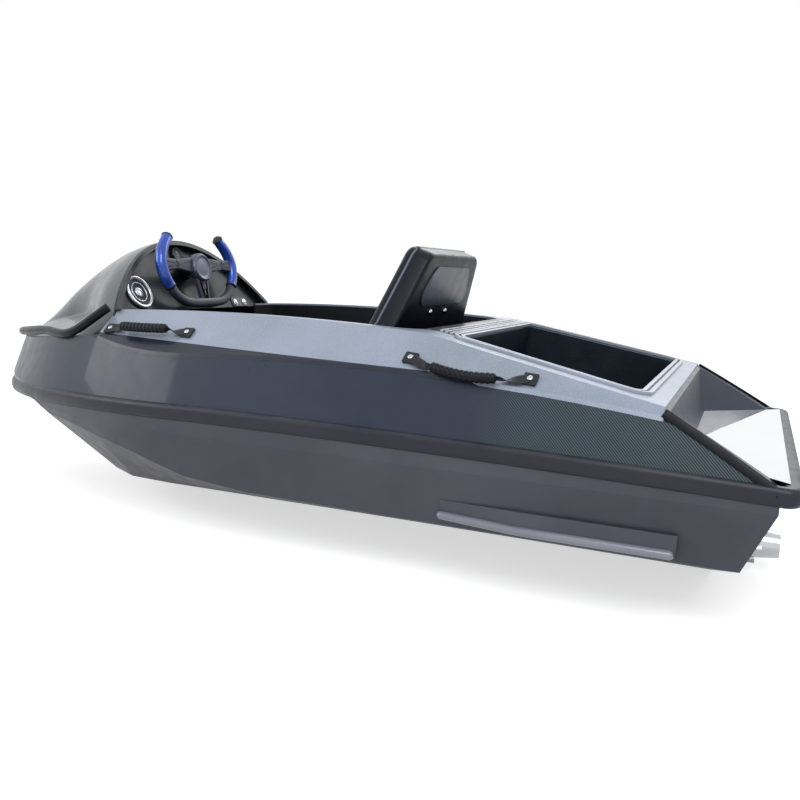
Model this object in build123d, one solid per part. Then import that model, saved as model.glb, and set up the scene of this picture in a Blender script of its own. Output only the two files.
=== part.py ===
from build123d import *
import math
import os

# Water kart, a one-seat jet boat with a kart cockpit.
# +X points to the bow, +Y to port, +Z up, millimetres.
# The origin lies under the middle of the boat, at the foot of the keel pad.

# Plan of the moulding at the bumper line
BUMPER_LENGTH = 2580.0
HALF_LENGTH = BUMPER_LENGTH / 2
HALF_BEAM = 568.0
BUMPER_PROUD = 22.0
BUMPER_HEIGHT = 42.0
TAPER_START_X = 0.1550 * HALF_LENGTH
NOSE_RADIUS = 123.0

# Bumper line seen from the side, highest a little aft of the dash
SHEER_PEAK_X = 0.0
SHEER_PEAK_Z = 377.0
SHEER_STERN_Z = 355.0
SHEER_BOW_Z = 318.0

# Lower hull
FLANGE_LOW_Z = 300.0
HULL_SIDE_TAPER = 21.8
KEEL_RISE_X = 0.2700 * HALF_LENGTH
KEEL_ENTRY_X = 0.6202 * HALF_LENGTH
KEEL_ENTRY_Z = 77.0
FOREFOOT_X = 0.9147 * HALF_LENGTH
FOREFOOT_Z = 203.0

# Vee bottom: station, height where the planes meet in the middle, knuckle as a share of the half
# beam, height of the knuckle, rise per unit breadth outside the knuckle
VEE_SECTIONS = (
    (-1.0430 * HALF_LENGTH, -16.0, 0.700, 117.0, 0.334),
    (-0.2320 * HALF_LENGTH, -16.0, 0.700, 117.0, 0.334),
    (0.0, -17.0, 0.700, 116.0, 0.360),
    (0.1490 * HALF_LENGTH, -18.0, 0.695, 112.0, 0.520),
    (0.2600 * HALF_LENGTH, -18.0, 0.685, 109.0, 0.800),
    (0.3721 * HALF_LENGTH, -9.0, 0.660, 107.0, 1.000),
    (0.4650 * HALF_LENGTH, 8.0, 0.540, 104.0, 0.900),
    (0.5581 * HALF_LENGTH, 36.0, 0.400, 105.0, 0.780),
    (0.6670 * HALF_LENGTH, 78.0, 0.250, 158.0, 0.640),
    (0.7750 * HALF_LENGTH, 130.0, 0.220, 204.0, 0.620),
    (0.9070 * HALF_LENGTH, 186.0, 0.200, 257.0, 0.620),
    (1.0430 * HALF_LENGTH, 238.0, 0.200, 309.0, 0.620),
)
TRANSOM_X = -0.9651 * HALF_LENGTH
SPONSON_FRONT_X = -0.4186 * HALF_LENGTH
SPONSON_REAR_X = -0.8233 * HALF_LENGTH
SPONSON_TOP_Z = 222.0
SPONSON_RAIL_Z = 183.0
SPONSON_LOW_Z = 168.0
SPONSON_PROUD = 34.0
SPONSON_TIP_PROUD = 4.0
SPONSON_ROOT = 40.0
SPONSON_FLARE = 0.25
SPONSON_FULL_X = -0.5580 * HALF_LENGTH
SPONSON_RAIL_RADIUS = 8.0

# Upper moulding
FLANGE_TOP_Z = 350.0
TOPSIDE_TAPER = 19.2
SIDE_DECK_DATUM_Y = 0.8803 * HALF_BEAM
SIDE_DECK_SLOPE = 0.85
SIDE_DECK_PEAK_X = -0.0775 * HALF_LENGTH
SIDE_DECK_PEAK_Z = 523.0
SIDE_DECK_STERN_Z = 489.0
SIDE_DECK_BOW_Z = 497.0
SKIN = 6.0
CREST_STERN_X = -0.9651 * HALF_LENGTH
CREST_STERN_Z = 350.0
CREST_RISE_X = -0.8837 * HALF_LENGTH
CREST_RISE_Z = 412.0
DECK_REAR_X = -0.7853 * HALF_LENGTH
DECK_REAR_Z = 482.0
DECK_BREAK_X = -0.3411 * HALF_LENGTH
DECK_BREAK_Z = 592.0
CREST_MID_Z = 607.0
DASH_FOOT_X = 0.4031 * HALF_LENGTH
DASH_FOOT_Z = 594.0
FOREDECK_REAR_Z = 532.0
FOREDECK_BOW_Z = 457.0

# Cockpit well and rear tub
WELL_REAR_X = -0.3062 * HALF_LENGTH
WELL_FRONT_X = 0.5581 * HALF_LENGTH
WELL_HALF_WIDTH = 0.6479 * HALF_BEAM
WELL_FRONT_HALF_WIDTH = 0.3000 * HALF_BEAM
WELL_NARROW_X = 0.3721 * HALF_LENGTH
WELL_FLOOR_Z = 122.0
WELL_CORNER = 60.0
LINER = 5.0
TUB_FRONT_X = -0.3946 * HALF_LENGTH
TUB_REAR_X = -0.7372 * HALF_LENGTH
TUB_FRONT_HALF_WIDTH = 0.6074 * HALF_BEAM
TUB_SPREAD = 80.0
TUB_REAR_HALF_WIDTH = TUB_FRONT_HALF_WIDTH + TUB_SPREAD
TUB_DEPTH = 165.0
TUB_CORNER = 24.0
TUB_CLEAR = 100.0
TUB_FRAME_WIDTH = 9.0
TUB_FRAME_HEIGHT = 7.0
TUB_GROOVE = 6.0
RIB_WIDTH = 8.0
RIB_HEIGHT = 5.0
RIB_COUNT = 3
RIB_PITCH = 13.0
RIB_FIRST_X = -0.3682 * HALF_LENGTH
RIB_HALF_LENGTH = 0.5810 * HALF_BEAM

# Stern notch
NOTCH_FLOOR_Z = 357.0
NOTCH_REACH = 300.0
NOTCH_FRONT_X = -0.8155 * HALF_LENGTH
NOTCH_FRONT_HALF_WIDTH = 0.6004 * HALF_BEAM
NOTCH_SPREAD = 0.907
NOTCH_WALL_LEAN = 1.534
NOTCH_BULKHEAD_LEAN = 0.26

# Hood, dash and trim
DASH_TOP_X = 0.4860 * HALF_LENGTH
DASH_TOP_Z = 798.0
HOOD_SHELL = 7.0
DASH_PANEL = 8.0
DASH_RIM = 16.0
DASH_RECESS = 6.0
DASH_BOTTOM_Z = 585.0

# Hood sections: station, half widths at the foredeck and the crease as shares of the half beam,
# heights of the crease and the ridge
HOOD_SECTIONS = (
    (0.3721 * HALF_LENGTH, 0.7782, 0.7148, 612, 822),
    (0.4860 * HALF_LENGTH, 0.7465, 0.5951, 596, 799),
    (0.6047 * HALF_LENGTH, 0.6444, 0.4718, 570, 758),
    (0.7209 * HALF_LENGTH, 0.5070, 0.3380, 546, 683),
    (0.8140 * HALF_LENGTH, 0.3662, 0.2183, 526, 583),
    (0.8760 * HALF_LENGTH, 0.2430, 0.1232, 506, 518),
)
HOOD_SINK = 20.0
TRIM_RADIUS = 13.0
TRIM_RISE = 9.0
TRIM_BOW_X = 0.9380 * HALF_LENGTH
TRIM_REAR = (0.4110 * HALF_LENGTH, 0.7254 * HALF_BEAM, 600)
TRIM_KNEE = (0.4500 * HALF_LENGTH, 0.7606 * HALF_BEAM, 560)

# Steering
WHEEL_X = 0.4031 * HALF_LENGTH
WHEEL_Z = 717.0
WHEEL_LEAN = 13.5
WHEEL_HALF_WIDTH = 167.0
WHEEL_DROP = 125.0
WHEEL_RIM = 26.0
WHEEL_RIM_EASE = 9.0
WHEEL_THICK = 20.0
HUB_RADIUS = 46.0
GRIP_RADIUS = 18.0
GRIP_TIP_Y = 134.0
GRIP_TIP_RISE = 96.0
GRIP_FOOT_DROP = 26.0
GRIP_BOW = 1.3
GRIP_BOW_RISE = 6.0
GRIP_STAND = 2.1
GRIP_CAP = 11.0
GRIP_CAP_LIP = 0.6
WHEEL_SPOKE_TOP = 24.0
WHEEL_SPOKE_LOW = 18.0
WHEEL_SHOULDER_DROP = 52.0
WHEEL_FOOT_HALF = 100.0
WHEEL_CENTRE_SPOKE = 20.0
WHEEL_WINDOW_CORNER = 7.0
HUB_CAP = 6.0
HUB_RING = 5.0
HUB_RING_RISE = 3.0
BOSS_RADIUS = 27.0
BOSS_LENGTH = 24.0
SHAFT_TAIL = 40.0

# Instruments on the dash, measured up from the foot of its middle line
SPEAKER_Y = 0.4560 * HALF_BEAM
SPEAKER_UP = 54.0
SPEAKER_RADIUS = 50.0
SPEAKER_RISE = 9.0
SPEAKER_RING = 9.0
SPEAKER_CONE_SINK = 3.0
SPEAKER_DOME_RADIUS = 17.0
SPEAKER_DOME_SINK = 2.0
GAUGE_UP = 183.0
GAUGE_RADIUS = 27.0
GAUGE_RISE = 10.0
GAUGE_RIM = 4.0
GAUGE_SINK = 3.0
SWITCH_Y = (-0.3910 * HALF_BEAM, -0.4840 * HALF_BEAM)
SWITCH_UP = 10.0
SWITCH_RADIUS = 11.0
SWITCH_RISE = 9.0
COLUMN_RADIUS = 16.0

# Seat
SEAT_FOOT_X = -0.1163 * HALF_LENGTH
SEAT_FOOT_Z = 250.0
SEAT_RECLINE = 19.0
SEAT_BACK_LENGTH = 575.0
SEAT_BACK_SHOULDER = 350.0
SEAT_BACK_LOW_HALF = 0.5070 * HALF_BEAM
SEAT_BACK_TOP_HALF = 0.3520 * HALF_BEAM
SEAT_BACK_THICK = 44.0
SEAT_SHELL_THICK = 34.0
SEAT_BASE_LENGTH = 460.0
SEAT_BASE_HALF = 0.4401 * HALF_BEAM
SEAT_BASE_THICK = 90.0
SEAT_BASE_BACK = 60.0
SEAT_CUSHION_BACK = 72.0
SEAT_CORNER = 40.0
SEAT_EDGE = 18.0
SEAT_SHELL_INSET = 6.0
PANEL_LOW_HALF = 0.3260 * HALF_BEAM
PANEL_TOP_HALF = 0.2200 * HALF_BEAM
PANEL_LOW = 432.0
PANEL_TOP = 530.0
PANEL_CORNER = 18.0
PANEL_THICK = 3.0
BOLT_Y = 60.0
BOLT_UP = 405.0
BOLT_RADIUS = 9.0
BOLT_RISE = 5.0
BRACKET_REACH = 70.0
BRACKET_HALF = 130.0
BRACKET_RISE = 60.0

# Grab handles on the side decks: middle station, breadth, turn in degrees
HANDLES = (
    (0.2791 * HALF_LENGTH, 0.7905 * HALF_BEAM, 4.6),
    (-0.4457 * HALF_LENGTH, 0.8556 * HALF_BEAM, -5.5),
)
HANDLE_SPAN = 270.0
HANDLE_PLATE = 40.0
HANDLE_PLATE_THICK = 5.0
HANDLE_SCREW = 7.0
HANDLE_SCREW_RISE = 3.0
HANDLE_RISE = 30.0
HANDLE_GRIP_LENGTH = 170.0
HANDLE_GRIP_RADIUS = 11.0
HANDLE_RIBS = 9
HANDLE_RIB = 2.0
HANDLE_RIB_WIDTH = 9.0
HANDLE_STRAP = 3.0
HANDLE_STRAP_HALF = 13.0
HANDLE_LAP = 4.0

# Jet drive
JET_Z = 78.0
PUMP_BORE = 55.0
PUMP_WALL = 7.0
PUMP_REAR_X = TRANSOM_X + 95.0
PUMP_LENGTH = 190.0
ENGINE_X = PUMP_REAR_X + HALF_LENGTH * 49 / 129
ENGINE_Z = 215.0
ENGINE_LENGTH = HALF_LENGTH * 34 / 129
SHAFT_REACH = 30.0
SHAFT_FRONT_X = ENGINE_X - ENGINE_LENGTH / 2 + SHAFT_REACH
ENGINE_WIDTH = 300.0
ENGINE_HEIGHT = 200.0
JET_TUBE_RADIUS = 27.0
JET_CONE_LENGTH = 38.0
JET_WALL = 4.0
FLANGE_RADIUS = 66.0
FLANGE_THICK = 8.0
FLANGE_BOLTS = 6
FLANGE_BOLT_CIRCLE = 60.5
FLANGE_BOLT_RADIUS = 4.5
FLANGE_BOLT_RISE = 4.0
EAR_INNER = 48.0
EAR_THICK = 6.0
EAR_HALF = 12.0
PIN_RADIUS = 4.0
PIN_GAP = 0.05
BOSS_SMALL = 9.0
JET_TUBE_REAR_X = PUMP_REAR_X - 64.0
NOZZLE_RADIUS = 42.0
NOZZLE_REAR_RADIUS = 33.0
NOZZLE_LEAD = 4.0
STEERING_ARM = 34.0
STEERING_ARM_THICK = 6.0
STEERING_ARM_BREADTH = 14.0
STEERING_ARM_LAP = 4.0
STEERING_ARM_SETBACK = 18.0
NOZZLE_WALL = 4.0
NOZZLE_PIVOT_X = PUMP_REAR_X - 62.0
NOZZLE_REAR_X = PUMP_REAR_X - 130.0
MOVING_GAP = 5.0
SHAFT_RADIUS = 12.0
IMPELLER_HUB = 20.0
IMPELLER_BLADES = 4
STATOR_VANES = 6
STATOR_LENGTH = 60.0
STATOR_VANE = 4.0
VANE_LAP = 4.0
VANE_INSET = 6.0
CORE_INSET = 4.0
BEARING_INSET = 10.0
SHAFT_INSET = 14.0
IMPELLER_LENGTH = 58.0
IMPELLER_LEAD = 200.0
IMPELLER_BLADE = 5.0
INTAKE_FRONT_X = PUMP_REAR_X + 510.0
INTAKE_REAR_X = PUMP_REAR_X + 250.0
INTAKE_HALF_WIDTH = 44.0
INTAKE_ROOF_RUN = 10.0
GRATE_BARS = 4
GRATE_BAR = 6.0
GRATE_HEIGHT = 12.0
GRATE_LIFT = 0.5

# Running and seating clearances
SEAT_GAP = 0.3
FAR = 1500.0
END_SPARE = 50.0
VEE_REACH = 750.0
VEE_TOP = 1000.0


def circle_height(x, peak_x, peak_z, end_x, end_z):
    """Height at x of an arc that is level at the peak and passes the end."""
    run = end_x - peak_x
    drop = peak_z - end_z
    radius = (run * run + drop * drop) / (2 * drop)
    return peak_z - radius + math.sqrt(radius * radius - (x - peak_x) ** 2)


def arc_height(x, points):
    """Height at x of the arc through three side-view points."""
    (x1, z1), (x2, z2), (x3, z3) = points
    turn = 2 * ((x2 - x1) * (z3 - z1) - (x3 - x1) * (z2 - z1))
    near = (x2 - x1) ** 2 + (z2 - z1) ** 2
    wide = (x3 - x1) ** 2 + (z3 - z1) ** 2
    centre_x = x1 + (near * (z3 - z1) - wide * (z2 - z1)) / turn
    centre_z = z1 + (wide * (x2 - x1) - near * (x3 - x1)) / turn
    radius = math.hypot(x1 - centre_x, z1 - centre_z)
    return centre_z + math.sqrt(radius * radius - (x - centre_x) ** 2)


SIDE_DECK_ARC = (
    (DECK_REAR_X, SIDE_DECK_STERN_Z),
    (SIDE_DECK_PEAK_X, SIDE_DECK_PEAK_Z),
    (DASH_FOOT_X, SIDE_DECK_BOW_Z),
)


def side_deck_height(x):
    """Height of the sloping side deck at its datum breadth."""
    return arc_height(x, SIDE_DECK_ARC)


def sheer_height(x):
    """Height of the bumper's top edge."""
    if x < SHEER_PEAK_X:
        return circle_height(x, SHEER_PEAK_X, SHEER_PEAK_Z, -HALF_LENGTH, SHEER_STERN_Z)
    return circle_height(x, SHEER_PEAK_X, SHEER_PEAK_Z, HALF_LENGTH, SHEER_BOW_Z)


REAR_DECK_ANGLE = math.degrees(math.atan2(DECK_BREAK_Z - DECK_REAR_Z, DECK_BREAK_X - DECK_REAR_X))


def bow_arc():
    """Radius of the long bow curve, tangent to the side and to the nose."""
    tip_x = HALF_LENGTH - BUMPER_PROUD
    run = tip_x - NOSE_RADIUS - TAPER_START_X
    return (run * run + HALF_BEAM ** 2 - NOSE_RADIUS ** 2) / (2 * (HALF_BEAM - NOSE_RADIUS))


def plan_face(inset, stern_x):
    """Plan outline of the boat, moved in by inset, with a square stern."""
    radius = bow_arc()
    nose_x = HALF_LENGTH - BUMPER_PROUD - NOSE_RADIUS
    centre_y = HALF_BEAM - radius
    length = math.hypot(nose_x - TAPER_START_X, centre_y)
    reach = radius - inset
    junction_x = TAPER_START_X + reach * (nose_x - TAPER_START_X) / length
    junction_y = centre_y - reach * centre_y / length
    half = HALF_BEAM - inset
    tip_x = nose_x + NOSE_RADIUS - inset
    starboard_side = Line((stern_x, -half), (TAPER_START_X, -half))
    starboard_bow = RadiusArc((TAPER_START_X, -half), (junction_x, -junction_y), -reach)
    nose = ThreePointArc((junction_x, -junction_y), (tip_x, 0), (junction_x, junction_y))
    port_bow = RadiusArc((junction_x, junction_y), (TAPER_START_X, half), -reach)
    port_side = Line((TAPER_START_X, half), (stern_x, half))
    stern = Line((stern_x, half), (stern_x, -half))
    return make_face([starboard_side, starboard_bow, nose, port_bow, port_side, stern])


def side_prism(edges, half_width=FAR):
    """Solid whose outline is drawn in the side view, reaching both ways across."""
    start = Pos(0, half_width, 0) * (Plane.XZ * make_face(edges))
    return extrude(start, amount=2 * half_width, dir=(0, -1, 0))


def level_arc(peak_x, peak_z, end_x, end_z):
    """Arc that is level at the peak and ends at the end point."""
    mid_x = (peak_x + end_x) / 2
    mid_z = circle_height(mid_x, peak_x, peak_z, end_x, end_z)
    return ThreePointArc((peak_x, peak_z), (mid_x, mid_z), (end_x, end_z))


def sheer_block(drop):
    """Everything below the bumper's top edge, lowered by drop."""
    stern_x = -HALF_LENGTH - END_SPARE
    bow_x = HALF_LENGTH + END_SPARE
    stern_z = sheer_height(stern_x)
    bow_z = sheer_height(bow_x)
    edges = [
        level_arc(SHEER_PEAK_X, SHEER_PEAK_Z, stern_x, stern_z),
        level_arc(SHEER_PEAK_X, SHEER_PEAK_Z, bow_x, bow_z),
        Line((bow_x, bow_z), (bow_x, -FAR)),
        Line((bow_x, -FAR), (stern_x, -FAR)),
        Line((stern_x, -FAR), (stern_x, stern_z)),
    ]
    return Pos(0, 0, -drop) * side_prism(edges)


def sloped_plane(datum_y, slope):
    """Plane square to lines that rise by slope towards starboard."""
    return Plane(
        origin=(0, FAR, slope * (datum_y - FAR)),
        x_dir=(1, 0, 0),
        z_dir=(0, -1, slope),
    )


def keel_profile():
    """Region above the keel line, with the flat pad's run aft of the rise."""
    stern_x = -HALF_LENGTH - END_SPARE
    bow_x = HALF_LENGTH + END_SPARE
    entry_slope = (FOREFOOT_Z - KEEL_ENTRY_Z) / (FOREFOOT_X - KEEL_ENTRY_X)
    bow_z = FOREFOOT_Z + entry_slope * (bow_x - FOREFOOT_X)
    rise_mid_x = (KEEL_RISE_X + KEEL_ENTRY_X) / 2
    rise_mid_z = -circle_height(rise_mid_x, KEEL_RISE_X, 0, KEEL_ENTRY_X, -KEEL_ENTRY_Z)
    return [
        Line((stern_x, 0), (KEEL_RISE_X, 0)),
        ThreePointArc((KEEL_RISE_X, 0), (rise_mid_x, rise_mid_z), (KEEL_ENTRY_X, KEEL_ENTRY_Z)),
        Line((KEEL_ENTRY_X, KEEL_ENTRY_Z), (bow_x, bow_z)),
        Line((bow_x, bow_z), (bow_x, FAR)),
        Line((bow_x, FAR), (stern_x, FAR)),
        Line((stern_x, FAR), (stern_x, 0)),
    ]


def vee_section(x, middle_z, knuckle, knuckle_z, slope):
    """Cross section above the vee bottom at one station."""
    knuckle_y = knuckle * HALF_BEAM
    side_z = knuckle_z + slope * (VEE_REACH - knuckle_y)
    outline = Polyline(
        (0, middle_z),
        (knuckle_y, knuckle_z),
        (VEE_REACH, side_z),
        (VEE_REACH, VEE_TOP),
        (-VEE_REACH, VEE_TOP),
        (-VEE_REACH, side_z),
        (-knuckle_y, knuckle_z),
        close=True,
    )
    return Plane(origin=(x, 0, 0), x_dir=(0, 1, 0), z_dir=(1, 0, 0)) * make_face(outline)


def above_bottom(body):
    """The part of a body above the vee bottom, which is sharper towards the bow, and its keel pad."""
    vee = loft([vee_section(*row) for row in VEE_SECTIONS], ruled=True)
    return body & side_prism(keel_profile()) & vee


def below_side_decks(body, drop):
    """The part of a body below both sloping side decks, lowered by drop."""
    square = 1 / math.hypot(1, SIDE_DECK_SLOPE)
    stern_x = -HALF_LENGTH - END_SPARE
    bow_x = HALF_LENGTH + END_SPARE
    stern = (stern_x, side_deck_height(stern_x) * square)
    peak = (SIDE_DECK_PEAK_X, SIDE_DECK_PEAK_Z * square)
    bow = (bow_x, side_deck_height(bow_x) * square)
    outline = make_face([
        ThreePointArc(stern, peak, bow),
        Line(bow, (bow_x, -2 * FAR)),
        Line((bow_x, -2 * FAR), (stern_x, -2 * FAR)),
        Line((stern_x, -2 * FAR), stern),
    ])
    port = extrude(sloped_plane(SIDE_DECK_DATUM_Y, SIDE_DECK_SLOPE) * outline, amount=2 * FAR / square)
    port = Pos(0, 0, -drop) * port
    return body & port & mirror(port, about=Plane.XZ)


def foredeck_height(x):
    """Height of the foredeck under the hood."""
    bow_x = HALF_LENGTH
    share = (x - DASH_FOOT_X) / (bow_x - DASH_FOOT_X)
    return FOREDECK_REAR_Z + share * (FOREDECK_BOW_Z - FOREDECK_REAR_Z)


def crest_block(drop):
    """Everything below the deck line seen from the side, lowered by drop."""
    bow_x = HALF_LENGTH + END_SPARE
    stern_x = CREST_STERN_X - END_SPARE
    deck_rear = (DECK_REAR_X, DECK_REAR_Z)
    edges = [
        Line((stern_x, -FAR), (stern_x, CREST_STERN_Z)),
        Line((stern_x, CREST_STERN_Z), (CREST_STERN_X, CREST_STERN_Z)),
        ThreePointArc((CREST_STERN_X, CREST_STERN_Z), (CREST_RISE_X, CREST_RISE_Z), deck_rear),
        Line(deck_rear, (DECK_BREAK_X, DECK_BREAK_Z)),
        ThreePointArc((DECK_BREAK_X, DECK_BREAK_Z), (0, CREST_MID_Z), (DASH_FOOT_X, DASH_FOOT_Z)),
        Line((DASH_FOOT_X, DASH_FOOT_Z), (DASH_FOOT_X, FOREDECK_REAR_Z)),
        Line((DASH_FOOT_X, FOREDECK_REAR_Z), (bow_x, foredeck_height(bow_x))),
        Line((bow_x, foredeck_height(bow_x)), (bow_x, -FAR)),
        Line((bow_x, -FAR), (stern_x, -FAR)),
    ]
    return Pos(0, 0, -drop) * side_prism(edges)


def topside_prism(inset, top):
    """Topsides as a tapered prism that stands on the bumper flange."""
    stern_x = -HALF_LENGTH + BUMPER_PROUD
    face = plan_face(inset, stern_x)
    flange = extrude(Pos(0, 0, FLANGE_LOW_Z) * face, amount=FLANGE_TOP_Z - FLANGE_LOW_Z, dir=(0, 0, 1))
    foot = Pos(0, 0, FLANGE_TOP_Z) * face
    return flange + extrude(foot, amount=top - FLANGE_TOP_Z, dir=(0, 0, 1), taper=TOPSIDE_TAPER)


def well_face(grow):
    """Cockpit well in plan, narrowing towards the feet, grown outwards."""
    rear_x = WELL_REAR_X - grow
    front_x = WELL_FRONT_X + grow
    half = WELL_HALF_WIDTH + grow
    front_half = WELL_FRONT_HALF_WIDTH + grow
    outline = Polyline(
        (rear_x, -half),
        (WELL_NARROW_X, -half),
        (front_x, -front_half),
        (front_x, front_half),
        (WELL_NARROW_X, half),
        (rear_x, half),
        close=True,
    )
    return fillet(make_face(outline).vertices(), WELL_CORNER + grow)


def well_prism(grow, floor):
    """The well's space from its floor to above the deck."""
    start = Pos(0, 0, WELL_FLOOR_Z + floor) * well_face(grow)
    return extrude(start, amount=DASH_TOP_Z - WELL_FLOOR_Z)


DECK_PLANE = Plane(
    origin=(DECK_REAR_X, 0, DECK_REAR_Z),
    x_dir=(math.cos(math.radians(REAR_DECK_ANGLE)), 0, math.sin(math.radians(REAR_DECK_ANGLE))),
    z_dir=(-math.sin(math.radians(REAR_DECK_ANGLE)), 0, math.cos(math.radians(REAR_DECK_ANGLE))),
)


def along_deck(x):
    """Distance up the rear deck from its after edge."""
    return (x - DECK_REAR_X) / math.cos(math.radians(REAR_DECK_ANGLE))


def tub_face(grow):
    """Rear opening drawn on the sloping deck, grown outwards."""
    front = along_deck(TUB_FRONT_X) + grow
    rear = along_deck(TUB_REAR_X) - grow
    front_half = TUB_FRONT_HALF_WIDTH + grow
    rear_half = TUB_REAR_HALF_WIDTH + grow
    outline = Polyline(
        (rear, -rear_half),
        (front, -front_half),
        (front, front_half),
        (rear, rear_half),
        close=True,
    )
    return fillet(make_face(outline).vertices(), TUB_CORNER + grow)


def tub_prism(grow, low, high):
    """Block with the rear opening's outline between two depths."""
    return DECK_PLANE * extrude(Pos(0, 0, low) * tub_face(grow), amount=high - low, dir=(0, 0, 1))


def notch_prism(lower):
    """Stern notch: level floor, leaning bulkhead and splayed side walls."""
    rear_x = -HALF_LENGTH - END_SPARE

    def section(rise):
        front_x = NOTCH_FRONT_X + NOTCH_BULKHEAD_LEAN * rise
        middle = NOTCH_FRONT_HALF_WIDTH + NOTCH_WALL_LEAN * rise
        front_y = middle - NOTCH_SPREAD * (front_x - NOTCH_FRONT_X)
        rear_y = middle - NOTCH_SPREAD * (rear_x - NOTCH_FRONT_X)
        outline = Polyline(
            (rear_x, -rear_y),
            (front_x, -front_y),
            (front_x, front_y),
            (rear_x, rear_y),
            close=True,
        )
        return Pos(0, 0, NOTCH_FLOOR_Z + rise) * make_face(outline)

    return loft([section(-lower), section(NOTCH_REACH)], ruled=True)


def jet_tunnel(radius):
    """Round tunnel that holds the pump, open at the transom."""
    return jet_cylinder(radius, -HALF_LENGTH - END_SPARE, PUMP_REAR_X + PUMP_LENGTH)


def flange_pocket():
    """Flat upright seat in the leaning transom for the jet's flange."""
    rear_x = TRANSOM_X - SEAT_GAP
    return jet_cylinder(FLANGE_RADIUS + SEAT_GAP, rear_x, PUMP_REAR_X)


def intake_duct():
    """Sloping water intake from the keel pad up to the pump."""
    front_x = PUMP_REAR_X + PUMP_LENGTH
    roof = JET_Z + PUMP_BORE
    outline = Polyline(
        (INTAKE_FRONT_X, -1),
        (front_x + INTAKE_ROOF_RUN, roof),
        (front_x - 1, roof),
        (front_x - 1, JET_Z - PUMP_BORE),
        (INTAKE_REAR_X, -1),
        close=True,
    )
    return extrude(Plane.XZ * make_face(outline), amount=INTAKE_HALF_WIDTH, both=True)


def shaft_bore():
    """Hole in the duct roof for the drive shaft."""
    rear_x = PUMP_REAR_X + PUMP_LENGTH
    length = SHAFT_FRONT_X - rear_x + 2 * SEAT_GAP
    place = Pos((SHAFT_FRONT_X + rear_x) / 2, 0, JET_Z) * Rot(0, 90, 0)
    return place * Cylinder(SHAFT_RADIUS + SEAT_GAP, length)


def engine_space(grow):
    """Block of the engine's real size, grown outwards."""
    size_x = ENGINE_LENGTH + 2 * grow
    size_y = ENGINE_WIDTH + 2 * grow
    size_z = ENGINE_HEIGHT + 2 * grow
    return Pos(ENGINE_X, 0, ENGINE_Z) * Box(size_x, size_y, size_z)


def hull():
    """Lower hull moulding below the bumper's middle line."""
    body = hull_outline() & sheer_block(BUMPER_HEIGHT / 2)
    body -= well_prism(LINER + SEAT_GAP, -LINER - SEAT_GAP)
    body -= tub_prism(LINER + SEAT_GAP, -TUB_DEPTH - LINER - SEAT_GAP, TUB_CLEAR)
    body -= jet_tunnel(PUMP_BORE + PUMP_WALL + SEAT_GAP)
    body -= flange_pocket()
    body -= intake_duct()
    body -= shaft_bore()
    return body - engine_space(SEAT_GAP)


def upper_body():
    """Whole upper moulding to its outer skin, before it is split."""
    body = topside_prism(0, CREST_MID_Z + END_SPARE) - sheer_block(BUMPER_HEIGHT / 2)
    body = below_side_decks(body & crest_block(0), 0)
    body -= notch_prism(SKIN)
    body -= well_prism(LINER + SEAT_GAP, -LINER - SEAT_GAP)
    return body - tub_prism(LINER + SEAT_GAP, -TUB_DEPTH - LINER - SEAT_GAP, TUB_CLEAR)


def half_space(x_low, x_high):
    """Block between two stations."""
    return Pos((x_low + x_high) / 2, 0, 0) * Box(x_high - x_low, 2 * FAR, 2 * FAR)


def skin_drop():
    """Vertical drop that gives the side deck its thickness."""
    return SKIN * math.hypot(1, SIDE_DECK_SLOPE)


def deck_moulding():
    """Dark upper moulding that carries the topsides and all deck panels."""
    return below_side_decks(upper_body(), skin_drop()) & crest_block(SKIN)


def side_decks():
    """Pale sloping side decks on both sides, one solid each."""
    body = upper_body() & half_space(DECK_REAR_X, DASH_FOOT_X)
    return body - below_side_decks(body, skin_drop() - SEAT_GAP)


def deck_top():
    """Level skin on the crest, from which the coaming and rear deck are cut."""
    body = below_side_decks(upper_body(), skin_drop() + SEAT_GAP)
    return body - crest_block(SKIN - SEAT_GAP)


def coaming():
    """Rim of the cockpit on the crest of the deck."""
    return deck_top() & half_space(DECK_BREAK_X + SEAT_GAP, DASH_FOOT_X)


def rear_deck():
    """Sloping deck around the rear opening."""
    return deck_top() & half_space(DECK_REAR_X, DECK_BREAK_X)


def cockpit_liner():
    """Open moulded well that lines the cockpit and footwell."""
    shell = well_prism(LINER, -LINER) - well_prism(0, 0)
    return shell & (crest_block(SKIN) & half_space(-FAR, DASH_FOOT_X) + crest_block(SEAT_GAP))


def rear_tub():
    """Open box that lines the rear opening."""
    return tub_prism(LINER, -TUB_DEPTH - LINER, -SKIN) - tub_prism(0, -TUB_DEPTH, 1)


def tub_frame():
    """Raised double rim around the rear opening."""
    inner = tub_prism(TUB_FRAME_WIDTH, SEAT_GAP, TUB_FRAME_HEIGHT) - tub_prism(0, 0, TUB_FRAME_HEIGHT + 1)
    low = TUB_FRAME_WIDTH + TUB_GROOVE
    high = low + TUB_FRAME_WIDTH
    outer = tub_prism(high, SEAT_GAP, TUB_FRAME_HEIGHT) - tub_prism(low, 0, TUB_FRAME_HEIGHT + 1)
    return inner + outer


def deck_ribs():
    """Low ribs across the deck between the seat and the rear opening."""
    ribs = []
    for index in range(RIB_COUNT):
        place = Pos(along_deck(RIB_FIRST_X + index * RIB_PITCH), 0, SEAT_GAP + RIB_HEIGHT / 2)
        ribs.append(DECK_PLANE * (place * Box(RIB_WIDTH, 2 * RIB_HALF_LENGTH, RIB_HEIGHT)))
    return Part() + ribs


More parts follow.
